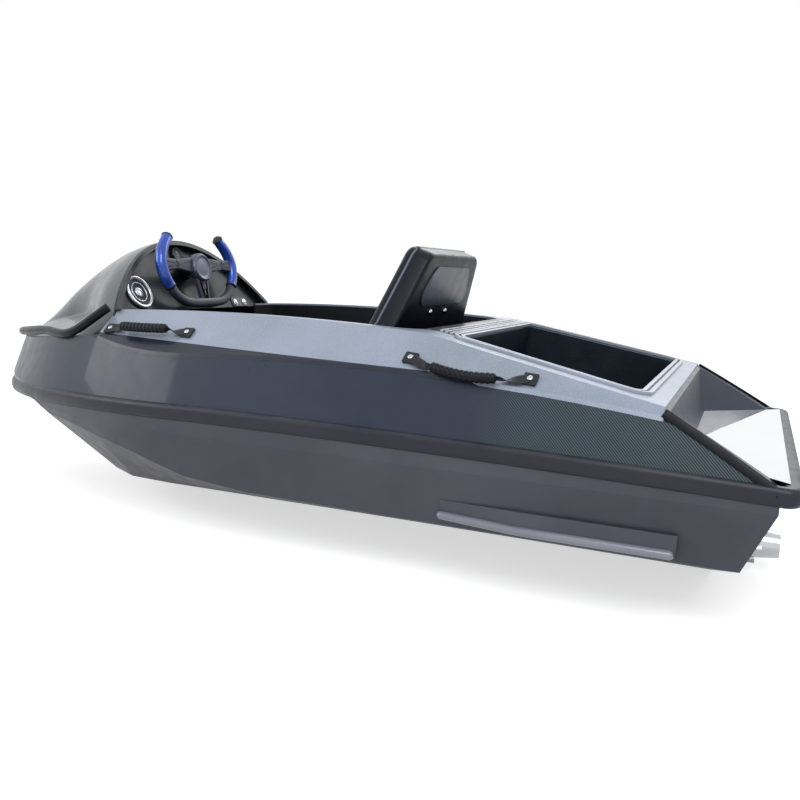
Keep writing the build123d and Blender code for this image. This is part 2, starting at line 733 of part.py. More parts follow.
def stern_floor():
    """Flat panel on the floor of the stern notch."""
    top = NOTCH_FLOOR_Z
    slab = Pos(0, 0, top - (SKIN - SEAT_GAP) / 2) * Box(2 * FAR, 2 * FAR, SKIN - SEAT_GAP)
    stern_x = -HALF_LENGTH + BUMPER_PROUD + SKIN
    plan = extrude(plan_face(BUMPER_PROUD, stern_x), amount=CREST_MID_Z)
    return slab & notch_prism(SKIN) & plan & half_space(-FAR, NOTCH_FRONT_X - SEAT_GAP)


def bumper():
    """Rubber bumper around the whole boat, following the sheer."""
    stern_x = -HALF_LENGTH
    outer = extrude(plan_face(-BUMPER_PROUD, stern_x), amount=SHEER_PEAK_Z + END_SPARE)
    inner = extrude(plan_face(BUMPER_PROUD, stern_x + 2 * BUMPER_PROUD), amount=SHEER_PEAK_Z + END_SPARE)
    band = (outer - inner) & (sheer_block(0) - sheer_block(BUMPER_HEIGHT))
    return band - hull_outline() - topside_prism(0, CREST_MID_Z)


def hull_outline():
    """Outer form of the lower hull up to the bumper."""
    face = plan_face(0, TRANSOM_X)
    band_top = SHEER_PEAK_Z + END_SPARE
    band = extrude(Pos(0, 0, FLANGE_LOW_Z) * face, amount=band_top - FLANGE_LOW_Z, dir=(0, 0, 1))
    foot = Pos(0, 0, FLANGE_LOW_Z) * face
    return above_bottom(band + extrude(foot, amount=FLANGE_LOW_Z, dir=(0, 0, -1), taper=HULL_SIDE_TAPER))


def hull_side_y(z):
    """Half breadth of the parallel hull side at a height."""
    return HALF_BEAM - (FLANGE_LOW_Z - z) * math.tan(math.radians(HULL_SIDE_TAPER))


def sponson_section(x, proud):
    """Cross section of the port sponson where it stands out by proud."""
    edge = hull_side_y(SPONSON_RAIL_Z) + proud
    outline = Polyline(
        (hull_side_y(SPONSON_TOP_Z) - SPONSON_ROOT, SPONSON_TOP_Z),
        (hull_side_y(SPONSON_TOP_Z) + proud * SPONSON_FLARE, SPONSON_TOP_Z),
        (edge, SPONSON_RAIL_Z),
        (edge - proud * SPONSON_FLARE, SPONSON_LOW_Z),
        (hull_side_y(SPONSON_LOW_Z) - SPONSON_ROOT, SPONSON_LOW_Z),
        close=True,
    )
    return Plane(origin=(x, 0, 0), x_dir=(0, 1, 0), z_dir=(1, 0, 0)) * make_face(outline)


def sponson_rail():
    """Round rail along the outer edge of the port sponson."""
    tip_y = hull_side_y(SPONSON_RAIL_Z) + SPONSON_TIP_PROUD
    full_y = hull_side_y(SPONSON_RAIL_Z) + SPONSON_PROUD
    corners = (
        (SPONSON_FRONT_X, tip_y),
        (SPONSON_FULL_X, full_y),
        (SPONSON_REAR_X + SPONSON_RAIL_RADIUS, full_y),
    )
    rail = Part()
    for (x1, y1), (x2, y2) in zip(corners, corners[1:]):
        span = math.hypot(x2 - x1, y2 - y1)
        turn = math.degrees(math.atan2(y2 - y1, x2 - x1))
        place = Pos((x1 + x2) / 2, (y1 + y2) / 2, SPONSON_RAIL_Z) * Rot(0, 0, turn) * Rot(0, 90, 0)
        rail += place * Cylinder(SPONSON_RAIL_RADIUS, span)
        rail += Pos(x2, y2, SPONSON_RAIL_Z) * Sphere(SPONSON_RAIL_RADIUS)
    return rail


def sponsons():
    """Fins low on both sides near the stern, fine in front and squared off behind."""
    tip = sponson_section(SPONSON_FRONT_X, SPONSON_TIP_PROUD)
    full = sponson_section(SPONSON_FULL_X, SPONSON_PROUD)
    rear = sponson_section(SPONSON_REAR_X, SPONSON_PROUD)
    fin = loft([tip, full, rear], ruled=True) + sponson_rail()
    fin -= hull_outline()
    return fin + mirror(fin, about=Plane.XZ)


def dash_plane(shift):
    """Raked plane of the dash, shifted forward along its normal."""
    rake = math.atan2(DASH_TOP_X - DASH_FOOT_X, DASH_TOP_Z - DASH_FOOT_Z)
    normal = (math.cos(rake), 0, -math.sin(rake))
    origin = (DASH_FOOT_X + shift * normal[0], 0, DASH_FOOT_Z + shift * normal[2])
    return Plane(origin=origin, x_dir=(0, 1, 0), z_dir=normal)


def hood_section(x, foot, crease, crease_z, top_z):
    """Cross section of the hood: a skirt up to the crease and an arch above it."""
    base_z = foredeck_height(x) - HOOD_SINK
    arch = ThreePointArc((crease, crease_z), (0, top_z), (-crease, crease_z))
    outline = [
        Line((-foot, base_z), (foot, base_z)),
        Line((foot, base_z), (crease, crease_z)),
        arch,
        Line((-crease, crease_z), (-foot, base_z)),
    ]
    return Plane(origin=(x, 0, 0), x_dir=(0, 1, 0), z_dir=(1, 0, 0)) * make_face(outline)


def hood_dome(inset):
    """Domed form of the hood, moved in by inset, before the dash cuts it."""
    sections = []
    for x, foot, crease, crease_z, top_z in HOOD_SECTIONS:
        station = x - inset if x > DASH_TOP_X else x
        foot_y = foot * HALF_BEAM - inset
        crease_y = crease * HALF_BEAM - inset
        sections.append(hood_section(station, foot_y, crease_y, crease_z - inset / 2, top_z - inset))
    return loft(sections)


def behind_dash(shift):
    """Block aft of the raked dash plane."""
    return dash_plane(shift) * Pos(0, 0, -FAR / 2) * Box(2 * FAR, 2 * FAR, FAR)


def hood():
    """Hollow domed hood over the footwell."""
    shell = hood_dome(0) - hood_dome(HOOD_SHELL)
    shell -= behind_dash(0)
    deck = topside_prism(0, CREST_MID_Z) & crest_block(-SEAT_GAP)
    return shell - deck


def dash_slab(near, far):
    """Slab parallel to the dash between two shifts."""
    return behind_dash(far) - behind_dash(near)


def dash_panel():
    """Raked dash panel inside the hood."""
    slab = dash_slab(DASH_RECESS, DASH_RECESS + DASH_PANEL)
    above = Pos(0, 0, DASH_BOTTOM_Z + FAR / 2) * Box(2 * FAR, 2 * FAR, FAR)
    return slab & hood_dome(HOOD_SHELL + SEAT_GAP) & above


def dash_rim():
    """Padded hoop around the dash at the hood's after edge."""
    slab = dash_slab(-DASH_RIM, -SEAT_GAP)
    hoop = slab & (hood_dome(0) - hood_dome(DASH_RIM))
    return hoop - (topside_prism(0, CREST_MID_Z) & crest_block(-SEAT_GAP))


def on_dash(across, up, shift):
    """Place on the dash face, measured from the foot of its middle line."""
    return dash_plane(shift) * Pos(across, up, 0)


def dash_disc(across, up, radius, low, high):
    """Round disc standing on the dash between two shifts."""
    height = high - low
    return on_dash(across, up, low + height / 2) * Cylinder(radius, height)


WHEEL_PLANE = Plane(
    origin=(WHEEL_X, 0, WHEEL_Z),
    x_dir=(0, 1, 0),
    z_dir=(math.cos(math.radians(WHEEL_LEAN)), 0, -math.sin(math.radians(WHEEL_LEAN))),
)


def column_to_dash():
    """Distance along the column from the wheel plane to the dash face."""
    panel = dash_plane(DASH_RECESS)
    offset = panel.origin - WHEEL_PLANE.origin
    return offset.dot(panel.z_dir) / WHEEL_PLANE.z_dir.dot(panel.z_dir)


def column_cylinder(radius, low, high):
    """Cylinder on the steering column's axis between two distances."""
    return WHEEL_PLANE * Pos(0, 0, (low + high) / 2) * Cylinder(radius, high - low)


def dash():
    """Dash panel with its holes for the column, speaker and gauge."""
    panel = dash_panel()
    panel -= column_cylinder(COLUMN_RADIUS + SEAT_GAP, 0, 2 * column_to_dash())
    return panel


def column_boss():
    """Fixed boss on the dash that carries the steering shaft."""
    length = column_to_dash()
    boss = column_cylinder(BOSS_RADIUS, length - BOSS_LENGTH, length + DASH_PANEL)
    boss -= column_cylinder(COLUMN_RADIUS + SEAT_GAP, 0, 2 * length)
    return boss & behind_dash(DASH_RECESS - SEAT_GAP)


def steering_shaft():
    """Shaft from the wheel hub through the dash."""
    return column_cylinder(COLUMN_RADIUS, WHEEL_THICK / 2 + SEAT_GAP, column_to_dash() + SHAFT_TAIL)


def steering_wheel():
    """Wheel plate with a flat lower rim, two side spokes and a lower spoke."""
    half = WHEEL_HALF_WIDTH
    outline = Polyline(
        (half, WHEEL_SPOKE_TOP),
        (half, -WHEEL_SHOULDER_DROP),
        (WHEEL_FOOT_HALF, -WHEEL_DROP),
        (-WHEEL_FOOT_HALF, -WHEEL_DROP),
        (-half, -WHEEL_SHOULDER_DROP),
        (-half, WHEEL_SPOKE_TOP),
        close=True,
    )
    plate = fillet(make_face(outline).vertices(), WHEEL_RIM / 2)
    inner = half - WHEEL_RIM
    window = Polyline(
        (inner, -WHEEL_SPOKE_LOW),
        (inner, -WHEEL_SHOULDER_DROP + WHEEL_RIM_EASE),
        (WHEEL_FOOT_HALF - WHEEL_RIM_EASE, WHEEL_RIM - WHEEL_DROP),
        (WHEEL_CENTRE_SPOKE, WHEEL_RIM - WHEEL_DROP),
        (WHEEL_CENTRE_SPOKE, -WHEEL_SPOKE_LOW),
        close=True,
    )
    opening = fillet(make_face(window).vertices(), WHEEL_WINDOW_CORNER)
    plate = plate - opening - mirror(opening, about=Plane.YZ)
    plate = plate + Circle(HUB_RADIUS)
    return WHEEL_PLANE * extrude(Pos(0, 0, -WHEEL_THICK / 2) * plate, amount=WHEEL_THICK)


def hub_disc():
    """Plain round cap with a raised ring on the wheel's hub."""
    cap = column_cylinder(HUB_RADIUS - HUB_RING, -WHEEL_THICK / 2 - HUB_CAP, -WHEEL_THICK / 2)
    ring = column_cylinder(HUB_RADIUS, -WHEEL_THICK / 2 - HUB_CAP - HUB_RING_RISE, -WHEEL_THICK / 2)
    bore = column_cylinder(HUB_RADIUS - HUB_RING, -WHEEL_THICK, -WHEEL_THICK / 2)
    return cap + (ring - bore)


def grip_arc():
    """Curve of the port grip in the wheel plane."""
    low = (WHEEL_HALF_WIDTH + GRIP_RADIUS + GRIP_STAND, -GRIP_FOOT_DROP)
    middle = (WHEEL_HALF_WIDTH + GRIP_RADIUS + GRIP_BOW, GRIP_BOW_RISE)
    return ThreePointArc(low, middle, (GRIP_TIP_Y, GRIP_TIP_RISE))


def wheel_grips():
    """Curved hand grips that rise from the wheel's sides."""
    path = grip_arc()
    section = Plane(origin=path @ 0, z_dir=path % 0) * Circle(GRIP_RADIUS)
    grip = sweep(section, path=path)
    return WHEEL_PLANE * (grip + mirror(grip, about=Plane.YZ))


def grip_caps():
    """Dark end caps on both ends of each grip."""
    path = grip_arc()
    caps = []
    for end, sign in ((0, -1), (1, 1)):
        place = Plane(origin=path @ end, z_dir=(path % end) * sign)
        cap = Cylinder(GRIP_RADIUS + GRIP_CAP_LIP, GRIP_CAP)
        caps.append(place * Pos(0, 0, GRIP_CAP / 2 + SEAT_GAP) * cap)
    pair = Part() + caps
    return WHEEL_PLANE * (pair + mirror(pair, about=Plane.YZ))


def speaker():
    """Round loudspeaker with its trim ring on the port side of the dash."""
    face = DASH_RECESS - SEAT_GAP
    ring = dash_disc(SPEAKER_Y, SPEAKER_UP, SPEAKER_RADIUS, face - SPEAKER_RISE, face)
    inside = SPEAKER_RADIUS - SPEAKER_RING
    well = dash_disc(SPEAKER_Y, SPEAKER_UP, inside, face - SPEAKER_RISE - 1, face - SPEAKER_CONE_SINK)
    dome_face = face - SPEAKER_RISE + SPEAKER_DOME_SINK
    dome = dash_disc(SPEAKER_Y, SPEAKER_UP, SPEAKER_DOME_RADIUS, dome_face, face)
    return ring - well + dome


def gauge():
    """Round instrument above the steering column."""
    face = DASH_RECESS - SEAT_GAP
    body = dash_disc(0, GAUGE_UP, GAUGE_RADIUS, face - GAUGE_RISE, face)
    glass = face - GAUGE_RISE + GAUGE_SINK
    return body - dash_disc(0, GAUGE_UP, GAUGE_RADIUS - GAUGE_RIM, face - GAUGE_RISE - 1, glass)


def switches():
    """Two round switches low on the starboard side of the dash."""
    face = DASH_RECESS - SEAT_GAP
    knobs = []
    for across in SWITCH_Y:
        knobs.append(dash_disc(across, SWITCH_UP, SWITCH_RADIUS, face - SWITCH_RISE, face))
    return Part() + knobs


def trim_line():
    """Line of the rubber edge from the port dash foot along the foredeck to the bow."""
    points = [TRIM_REAR, TRIM_KNEE]
    for x, foot, *_ in HOOD_SECTIONS[1:]:
        points.append((x, foot * HALF_BEAM + TRIM_RADIUS, foredeck_height(x) + TRIM_RISE))
    return points


def hood_trim():
    """Thick rubber edge from one dash foot round the bow to the other."""
    port = trim_line()
    bow = (TRIM_BOW_X, 0, foredeck_height(TRIM_BOW_X) + TRIM_RISE)
    starboard = [(x, -y, z) for x, y, z in reversed(port)]
    path = Spline(*port, bow, *starboard)
    tube = sweep(Plane(origin=path @ 0, z_dir=path % 0) * Circle(TRIM_RADIUS), path=path)
    deck = topside_prism(0, CREST_MID_Z) & crest_block(-SEAT_GAP)
    dash_side = behind_dash(-SEAT_GAP - DASH_RIM)
    return tube - deck - hood_dome(-SEAT_GAP) - dash_side


SEAT_PLANE = Plane(
    origin=(SEAT_FOOT_X, 0, SEAT_FOOT_Z),
    x_dir=(0, 1, 0),
    z_dir=(math.cos(math.radians(SEAT_RECLINE)), 0, math.sin(math.radians(SEAT_RECLINE))),
)


def seat_back_face(inset):
    """Outline of the backrest, narrower at the top, moved in by inset."""
    low = SEAT_BACK_LOW_HALF - inset
    top = SEAT_BACK_TOP_HALF - inset
    length = SEAT_BACK_LENGTH - inset
    outline = Polyline(
        (low, inset),
        (low, SEAT_BACK_SHOULDER),
        (top, length),
        (-top, length),
        (-low, SEAT_BACK_SHOULDER),
        (-low, inset),
        close=True,
    )
    return fillet(make_face(outline).vertices(), SEAT_CORNER)


def backrest_cushion():
    """Padded backrest."""
    pad = extrude(seat_back_face(0), amount=SEAT_BACK_THICK)
    pad = fillet(pad.faces().sort_by(Axis.Z)[-1].edges(), SEAT_EDGE)
    return SEAT_PLANE * pad


def backrest_shell():
    """Hard shell behind the backrest."""
    start = Pos(0, 0, -SEAT_SHELL_THICK) * seat_back_face(SEAT_SHELL_INSET)
    return SEAT_PLANE * extrude(start, amount=SEAT_SHELL_THICK - SEAT_GAP)


def backrest_panel():
    """Plain panel let into the back of the seat shell."""
    outline = Polyline(
        (PANEL_LOW_HALF, PANEL_LOW),
        (PANEL_TOP_HALF, PANEL_TOP),
        (-PANEL_TOP_HALF, PANEL_TOP),
        (-PANEL_LOW_HALF, PANEL_LOW),
        close=True,
    )
    face = fillet(make_face(outline).vertices(), PANEL_CORNER)
    start = -SEAT_SHELL_THICK - SEAT_GAP - PANEL_THICK
    return SEAT_PLANE * extrude(Pos(0, 0, start) * face, amount=PANEL_THICK)


def seat_bolts():
    """Two bolts low on the seat shell's back."""
    bolts = []
    for across in (-BOLT_Y, BOLT_Y):
        place = Pos(across, BOLT_UP, -SEAT_SHELL_THICK - SEAT_GAP - BOLT_RISE / 2)
        bolts.append(SEAT_PLANE * (place * Cylinder(BOLT_RADIUS, BOLT_RISE)))
    return Part() + bolts


def seat_base():
    """Moulded plinth that carries the seat on the well floor."""
    low = WELL_FLOOR_Z + SEAT_GAP
    high = SEAT_FOOT_Z - SEAT_BASE_THICK - SEAT_GAP
    centre_x = SEAT_FOOT_X + SEAT_BASE_LENGTH / 2 - SEAT_BASE_BACK / 2
    block = Box(SEAT_BASE_LENGTH + SEAT_BASE_BACK, 2 * SEAT_BASE_HALF, high - low)
    block = fillet(block.edges().filter_by(Axis.Z), SEAT_CORNER)
    return Pos(centre_x, 0, (low + high) / 2) * block


def seat_cushion():
    """Padded seat between the backrest and the wheel."""
    front = SEAT_BASE_LENGTH - SEAT_CUSHION_BACK
    pad = Box(front, 2 * SEAT_BASE_HALF, SEAT_BASE_THICK)
    pad = fillet(pad.edges().filter_by(Axis.Z), SEAT_CORNER)
    pad = fillet(pad.faces().sort_by(Axis.Z)[-1].edges(), SEAT_EDGE)
    centre_x = SEAT_FOOT_X + SEAT_CUSHION_BACK + front / 2
    return Pos(centre_x, 0, SEAT_FOOT_Z - SEAT_BASE_THICK / 2) * pad


def backrest_foot():
    """Bracket that joins the backrest shell to the plinth."""
    high = SEAT_FOOT_Z + BRACKET_RISE
    low = SEAT_FOOT_Z - SEAT_BASE_THICK
    block = Box(BRACKET_REACH, 2 * BRACKET_HALF, high - low)
    block = Pos(SEAT_FOOT_X - BRACKET_REACH / 2, 0, (low + high) / 2) * block
    front = SEAT_PLANE * Pos(0, 0, FAR / 2 - SEAT_SHELL_THICK - SEAT_GAP) * Box(2 * FAR, 2 * FAR, FAR)
    return block - front


def side_deck_plane(x, y):
    """Plane that lies on the port side deck with its x axis pointing forward."""
    step = 1.0
    z = side_deck_height(x) + SIDE_DECK_SLOPE * (SIDE_DECK_DATUM_Y - y)
    fall = (side_deck_height(x + step) - side_deck_height(x - step)) / (2 * step)
    along = Vector(1, 0, fall).normalized()
    across = Vector(0, -1, SIDE_DECK_SLOPE).normalized()
    return Plane(origin=(x, y, z), x_dir=along, z_dir=across.cross(along))


def on_side_deck(handle, x_local):
    """Place on a handle's line, above the side deck by the seating gap."""
    x, y, turn = handle
    return side_deck_plane(x, y) * Rot(0, 0, turn) * Pos(x_local, 0, SEAT_GAP)


def handle_plates():
    """Square end plates of the four grab handles."""
    plates = []
    for handle in HANDLES:
        for sign in (-1, 1):
            place = on_side_deck(handle, sign * HANDLE_SPAN / 2)
            plate = Pos(0, 0, HANDLE_PLATE_THICK / 2) * Box(HANDLE_PLATE, HANDLE_PLATE, HANDLE_PLATE_THICK)
            head = Pos(0, 0, HANDLE_PLATE_THICK) * Cylinder(HANDLE_SCREW, HANDLE_SCREW_RISE * 2)
            plates.append(place * (plate + head))
    pair = Part() + plates
    return pair + mirror(pair, about=Plane.XZ)


def grab_handle(handle):
    """Ribbed rubber grip on a strap that runs down to both end plates."""
    half = HANDLE_GRIP_LENGTH / 2
    outer = HANDLE_SPAN / 2 - HANDLE_PLATE / 2 - SEAT_GAP
    grip = Pos(0, 0, HANDLE_RISE) * Rot(0, 90, 0) * Cylinder(HANDLE_GRIP_RADIUS, 2 * half)
    for index in range(HANDLE_RIBS):
        x = -half + (index + 0.5) * 2 * half / HANDLE_RIBS
        rib = Cylinder(HANDLE_GRIP_RADIUS + HANDLE_RIB, HANDLE_RIB_WIDTH)
        grip += Pos(x, 0, HANDLE_RISE) * Rot(0, 90, 0) * rib
    strap = Polyline(
        (half - HANDLE_LAP, HANDLE_RISE + HANDLE_STRAP),
        (outer - HANDLE_RISE / 2, HANDLE_STRAP * 2),
        (outer, HANDLE_STRAP),
        (outer, 0),
        (outer - HANDLE_RISE / 2, 0),
        (half - HANDLE_LAP, HANDLE_RISE - HANDLE_STRAP),
        close=True,
    )
    leg = extrude(Plane.XZ * make_face(strap), amount=HANDLE_STRAP_HALF, both=True)
    form = grip + leg + mirror(leg, about=Plane.YZ)
    return on_side_deck(handle, 0) * form


def both_sides(form):
    """A port form together with its mirror image on starboard."""
    return form + mirror(form, about=Plane.XZ)


def front_handles():
    """Pair of grab handles beside the driver's knees."""
    return both_sides(grab_handle(HANDLES[0]))


def rear_handles():
    """Pair of grab handles beside the rear opening."""
    return both_sides(grab_handle(HANDLES[1]))


def jet_cylinder(radius, rear_x, front_x):
    """Cylinder on the jet's axis between two stations."""
    return Pos((rear_x + front_x) / 2, 0, JET_Z) * Rot(0, 90, 0) * Cylinder(radius, front_x - rear_x)


def jet_cone(rear_radius, front_radius, rear_x, front_x):
    """Cone on the jet's axis between two stations."""
    place = Pos((rear_x + front_x) / 2, 0, JET_Z) * Rot(0, 90, 0)
    return place * Cone(rear_radius, front_radius, front_x - rear_x)


def pump_housing():
    """Cast pump tube in the tunnel with its fixed vanes and bearing."""
    front_x = PUMP_REAR_X + PUMP_LENGTH
    body = jet_cylinder(PUMP_BORE + PUMP_WALL, PUMP_REAR_X, front_x)
    body -= jet_cylinder(PUMP_BORE, PUMP_REAR_X, front_x)
    body += jet_cylinder(IMPELLER_HUB, PUMP_REAR_X + CORE_INSET, PUMP_REAR_X + STATOR_LENGTH)
    vane_height = PUMP_BORE - IMPELLER_HUB + VANE_LAP
    middle = (IMPELLER_HUB + PUMP_BORE) / 2
    for index in range(STATOR_VANES):
        vane = Pos(0, 0, middle) * Box(STATOR_LENGTH - 2 * VANE_INSET, STATOR_VANE, vane_height)
        turn = Rot(index * 360 / STATOR_VANES, 0, 0)
        body += Pos(PUMP_REAR_X + STATOR_LENGTH / 2, 0, JET_Z) * turn * vane
    return body - jet_cylinder(SHAFT_RADIUS + SEAT_GAP, PUMP_REAR_X + BEARING_INSET, front_x)


def blade_section(radius):
    """Blade outline at one radius, turned to the helix angle there."""
    turn = math.atan2(2 * math.pi * radius, IMPELLER_LEAD)
    chord = IMPELLER_LENGTH / math.cos(turn)
    place = Plane(origin=(0, 0, radius), x_dir=(math.cos(turn), math.sin(turn), 0), z_dir=(0, 0, 1))
    return place * Rectangle(chord, IMPELLER_BLADE)


def impeller():
    """Twisted blades on their hub, running in the pump."""
    rear_x = PUMP_REAR_X + STATOR_LENGTH + MOVING_GAP
    front_x = rear_x + IMPELLER_LENGTH
    tip = PUMP_BORE - MOVING_GAP
    swept = jet_cylinder(tip, rear_x, front_x)
    radii = (IMPELLER_HUB / 2, (IMPELLER_HUB + tip) / 2, PUMP_BORE)
    blade = loft([blade_section(radius) for radius in radii])
    body = jet_cylinder(IMPELLER_HUB, rear_x, front_x)
    for index in range(IMPELLER_BLADES):
        turn = Rot(index * 360 / IMPELLER_BLADES, 0, 0)
        body += (Pos((rear_x + front_x) / 2, 0, JET_Z) * turn * blade) & swept
    return body - jet_cylinder(SHAFT_RADIUS + PIN_GAP, rear_x, front_x)


def drive_shaft():
    """Shaft from the stator bearing through the impeller into the hull."""
    return jet_cylinder(SHAFT_RADIUS, PUMP_REAR_X + SHAFT_INSET, SHAFT_FRONT_X)


def jet_outlet():
    """Outlet cone with its flange and the two ears for the steering nozzle."""
    flange = jet_cylinder(FLANGE_RADIUS, PUMP_REAR_X - FLANGE_THICK, PUMP_REAR_X - SEAT_GAP)
    front_x = PUMP_REAR_X - SEAT_GAP
    neck_x = PUMP_REAR_X - JET_CONE_LENGTH
    rear_x = JET_TUBE_REAR_X
    cone = jet_cone(JET_TUBE_RADIUS, PUMP_BORE, neck_x, front_x)
    body = flange + cone + jet_cylinder(JET_TUBE_RADIUS, rear_x, neck_x)
    low = NOZZLE_PIVOT_X - EAR_HALF
    length = PUMP_REAR_X - SEAT_GAP - low
    for sign in (-1, 1):
        ear_z = JET_Z + sign * (EAR_INNER + EAR_THICK / 2)
        ear = Pos(low + length / 2, 0, ear_z) * Box(length, 2 * EAR_HALF, EAR_THICK)
        body += ear
        body -= Pos(NOZZLE_PIVOT_X, 0, ear_z) * Cylinder(PIN_RADIUS + PIN_GAP, 2 * EAR_THICK)
    body -= jet_cone(JET_TUBE_RADIUS - JET_WALL, PUMP_BORE - JET_WALL, neck_x, front_x)
    return body - jet_cylinder(JET_TUBE_RADIUS - JET_WALL, rear_x, neck_x)


def flange_bolts():
    """Ring of hexagon bolts on the outlet's flange."""
    heads = []
    for index in range(FLANGE_BOLTS):
        turn = Rot((index + 0.5) * 360 / FLANGE_BOLTS, 0, 0)
        head = extrude(RegularPolygon(FLANGE_BOLT_RADIUS, 6), amount=FLANGE_BOLT_RISE)
        rear_x = PUMP_REAR_X - FLANGE_THICK - SEAT_GAP
        place = Pos(rear_x, 0, JET_Z) * turn * Pos(0, 0, FLANGE_BOLT_CIRCLE) * Rot(0, -90, 0)
        heads.append(place * head)
    return Part() + heads


def steering_nozzle():
    """Nozzle that swings on two upright pins to steer the jet."""
    front_x = NOZZLE_PIVOT_X + NOZZLE_LEAD
    inside = NOZZLE_RADIUS - NOZZLE_WALL
    body = jet_cone(NOZZLE_REAR_RADIUS, NOZZLE_RADIUS, NOZZLE_REAR_X, front_x)
    body -= jet_cone(NOZZLE_REAR_RADIUS - NOZZLE_WALL, inside, NOZZLE_REAR_X, front_x)
    boss_height = EAR_INNER - SEAT_GAP - inside
    pin_height = EAR_THICK + EAR_INNER - inside
    for sign in (-1, 1):
        boss_z = JET_Z + sign * (inside + boss_height / 2)
        pin_z = JET_Z + sign * (inside + pin_height / 2)
        body += Pos(NOZZLE_PIVOT_X, 0, boss_z) * Cylinder(BOSS_SMALL, boss_height)
        body += Pos(NOZZLE_PIVOT_X, 0, pin_z) * Cylinder(PIN_RADIUS, pin_height)
    arm = Box(STEERING_ARM_BREADTH, STEERING_ARM, STEERING_ARM_THICK)
    arm_y = NOZZLE_RADIUS + STEERING_ARM / 2 - STEERING_ARM_LAP
    return body + Pos(NOZZLE_PIVOT_X - STEERING_ARM_SETBACK, arm_y, JET_Z) * arm


def intake_grate():
    """Bars along the intake in the keel pad, joined by two cross bars."""
    length = INTAKE_FRONT_X - INTAKE_REAR_X
    centre_x = (INTAKE_FRONT_X + INTAKE_REAR_X) / 2
    half = INTAKE_HALF_WIDTH - SEAT_GAP
    body = Part()
    for index in range(GRATE_BARS):
        y = -half + GRATE_BAR / 2 + index * (2 * half - GRATE_BAR) / (GRATE_BARS - 1)
        body += Pos(centre_x, y, GRATE_HEIGHT / 2 + GRATE_LIFT) * Box(length, GRATE_BAR, GRATE_HEIGHT)
    for x in (centre_x - length / 2 + GRATE_BAR, centre_x + length / 2 - GRATE_BAR):
        body += Pos(x, 0, GRATE_HEIGHT / 2 + GRATE_LIFT) * Box(GRATE_BAR, 2 * half, GRATE_HEIGHT)
    return body & intake_duct()


def engine_block():
    """Engine as one plain block at its real place."""
    return engine_space(0)


PARTS = {
    "hull": hull,
    "sponsons": sponsons,
    "deck_moulding": deck_moulding,
    "side_decks": side_decks,
    "cockpit_coaming": coaming,
    "rear_deck": rear_deck,
    "stern_floor": stern_floor,
    "bumper": bumper,
    "cockpit_liner": cockpit_liner,
    "rear_tub": rear_tub,
    "tub_frame": tub_frame,
    "deck_ribs": deck_ribs,
    "hood": hood,
    "hood_trim": hood_trim,
    "dash_panel": dash,
    "dash_rim": dash_rim,
    "column_boss": column_boss,
    "speaker": speaker,
    "gauge": gauge,
    "switches": switches,
    "steering_shaft": steering_shaft,
    "steering_wheel": steering_wheel,
    "wheel_grips": wheel_grips,
    "grip_caps": grip_caps,
    "hub_disc": hub_disc,
    "seat_base": seat_base,
    "seat_cushion": seat_cushion,
    "backrest_foot": backrest_foot,
    "backrest_shell": backrest_shell,
    "backrest_cushion": backrest_cushion,
    "backrest_panel": backrest_panel,
    "seat_bolts": seat_bolts,
    "handle_plates": handle_plates,
    "front_handles": front_handles,
    "rear_handles": rear_handles,
    "pump_housing": pump_housing,
    "impeller": impeller,
    "drive_shaft": drive_shaft,
    "jet_outlet": jet_outlet,
    "flange_bolts": flange_bolts,
    "steering_nozzle": steering_nozzle,
    "intake_grate": intake_grate,
    "engine_block": engine_block,
}


def build_all():
    """Write one STEP file for each piece."""
    os.makedirs("parts", exist_ok=True)
    for name, make in PARTS.items():
        export_step(make(), f"parts/{name}.step")


build_all()
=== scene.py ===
"""Water kart: a one-seat jet boat dressed with its finishes, upholstery and fittings.

Lengths are metres in the boat's own frame: +X to the bow, +Y to port, +Z up.
New pieces are grids of points worked out with numpy, as surfaces of two
parameters or as profiles carried along paths.
"""

from __future__ import annotations

import logging
import math
from dataclasses import dataclass
from enum import Enum

import bmesh
import bpy
import numpy as np
from mathutils import Matrix


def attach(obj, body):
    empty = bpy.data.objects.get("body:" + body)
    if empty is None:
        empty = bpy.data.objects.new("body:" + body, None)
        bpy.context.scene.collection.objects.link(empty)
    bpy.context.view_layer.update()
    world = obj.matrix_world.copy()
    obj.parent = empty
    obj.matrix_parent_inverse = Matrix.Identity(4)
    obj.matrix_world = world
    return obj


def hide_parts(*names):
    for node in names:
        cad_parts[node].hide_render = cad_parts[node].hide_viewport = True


LOG = logging.getLogger("water_kart")
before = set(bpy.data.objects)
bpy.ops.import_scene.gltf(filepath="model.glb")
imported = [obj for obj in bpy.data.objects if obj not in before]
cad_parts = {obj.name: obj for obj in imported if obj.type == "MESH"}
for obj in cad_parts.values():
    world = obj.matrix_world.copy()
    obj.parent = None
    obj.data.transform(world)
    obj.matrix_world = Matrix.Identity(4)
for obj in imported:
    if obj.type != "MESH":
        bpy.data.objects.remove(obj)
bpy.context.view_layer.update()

TAU = 2 * math.pi
UPRIGHT = np.array([0, 0, 1.0])
CURVE_STEPS = 40
CORNER_STEPS = 10
EDGE_STEPS = 6
TUBE_STEPS = 28
DOME_STEPS = 7
DOME_START = 0.12
CROWN_START = 0.05
LID_INSET = 2.5
MERGE_DISTANCE = 1e-6
SLIVER_DISTANCE = 1e-7


def unit(vectors: np.ndarray) -> np.ndarray:
    """Scale each vector of an array to length one.

    Args:
        vectors: Array whose last axis holds x, y and z.

    Returns:
        The array with every vector divided by its length.
    """
    return vectors / np.linalg.norm(vectors, axis=-1, keepdims=True)


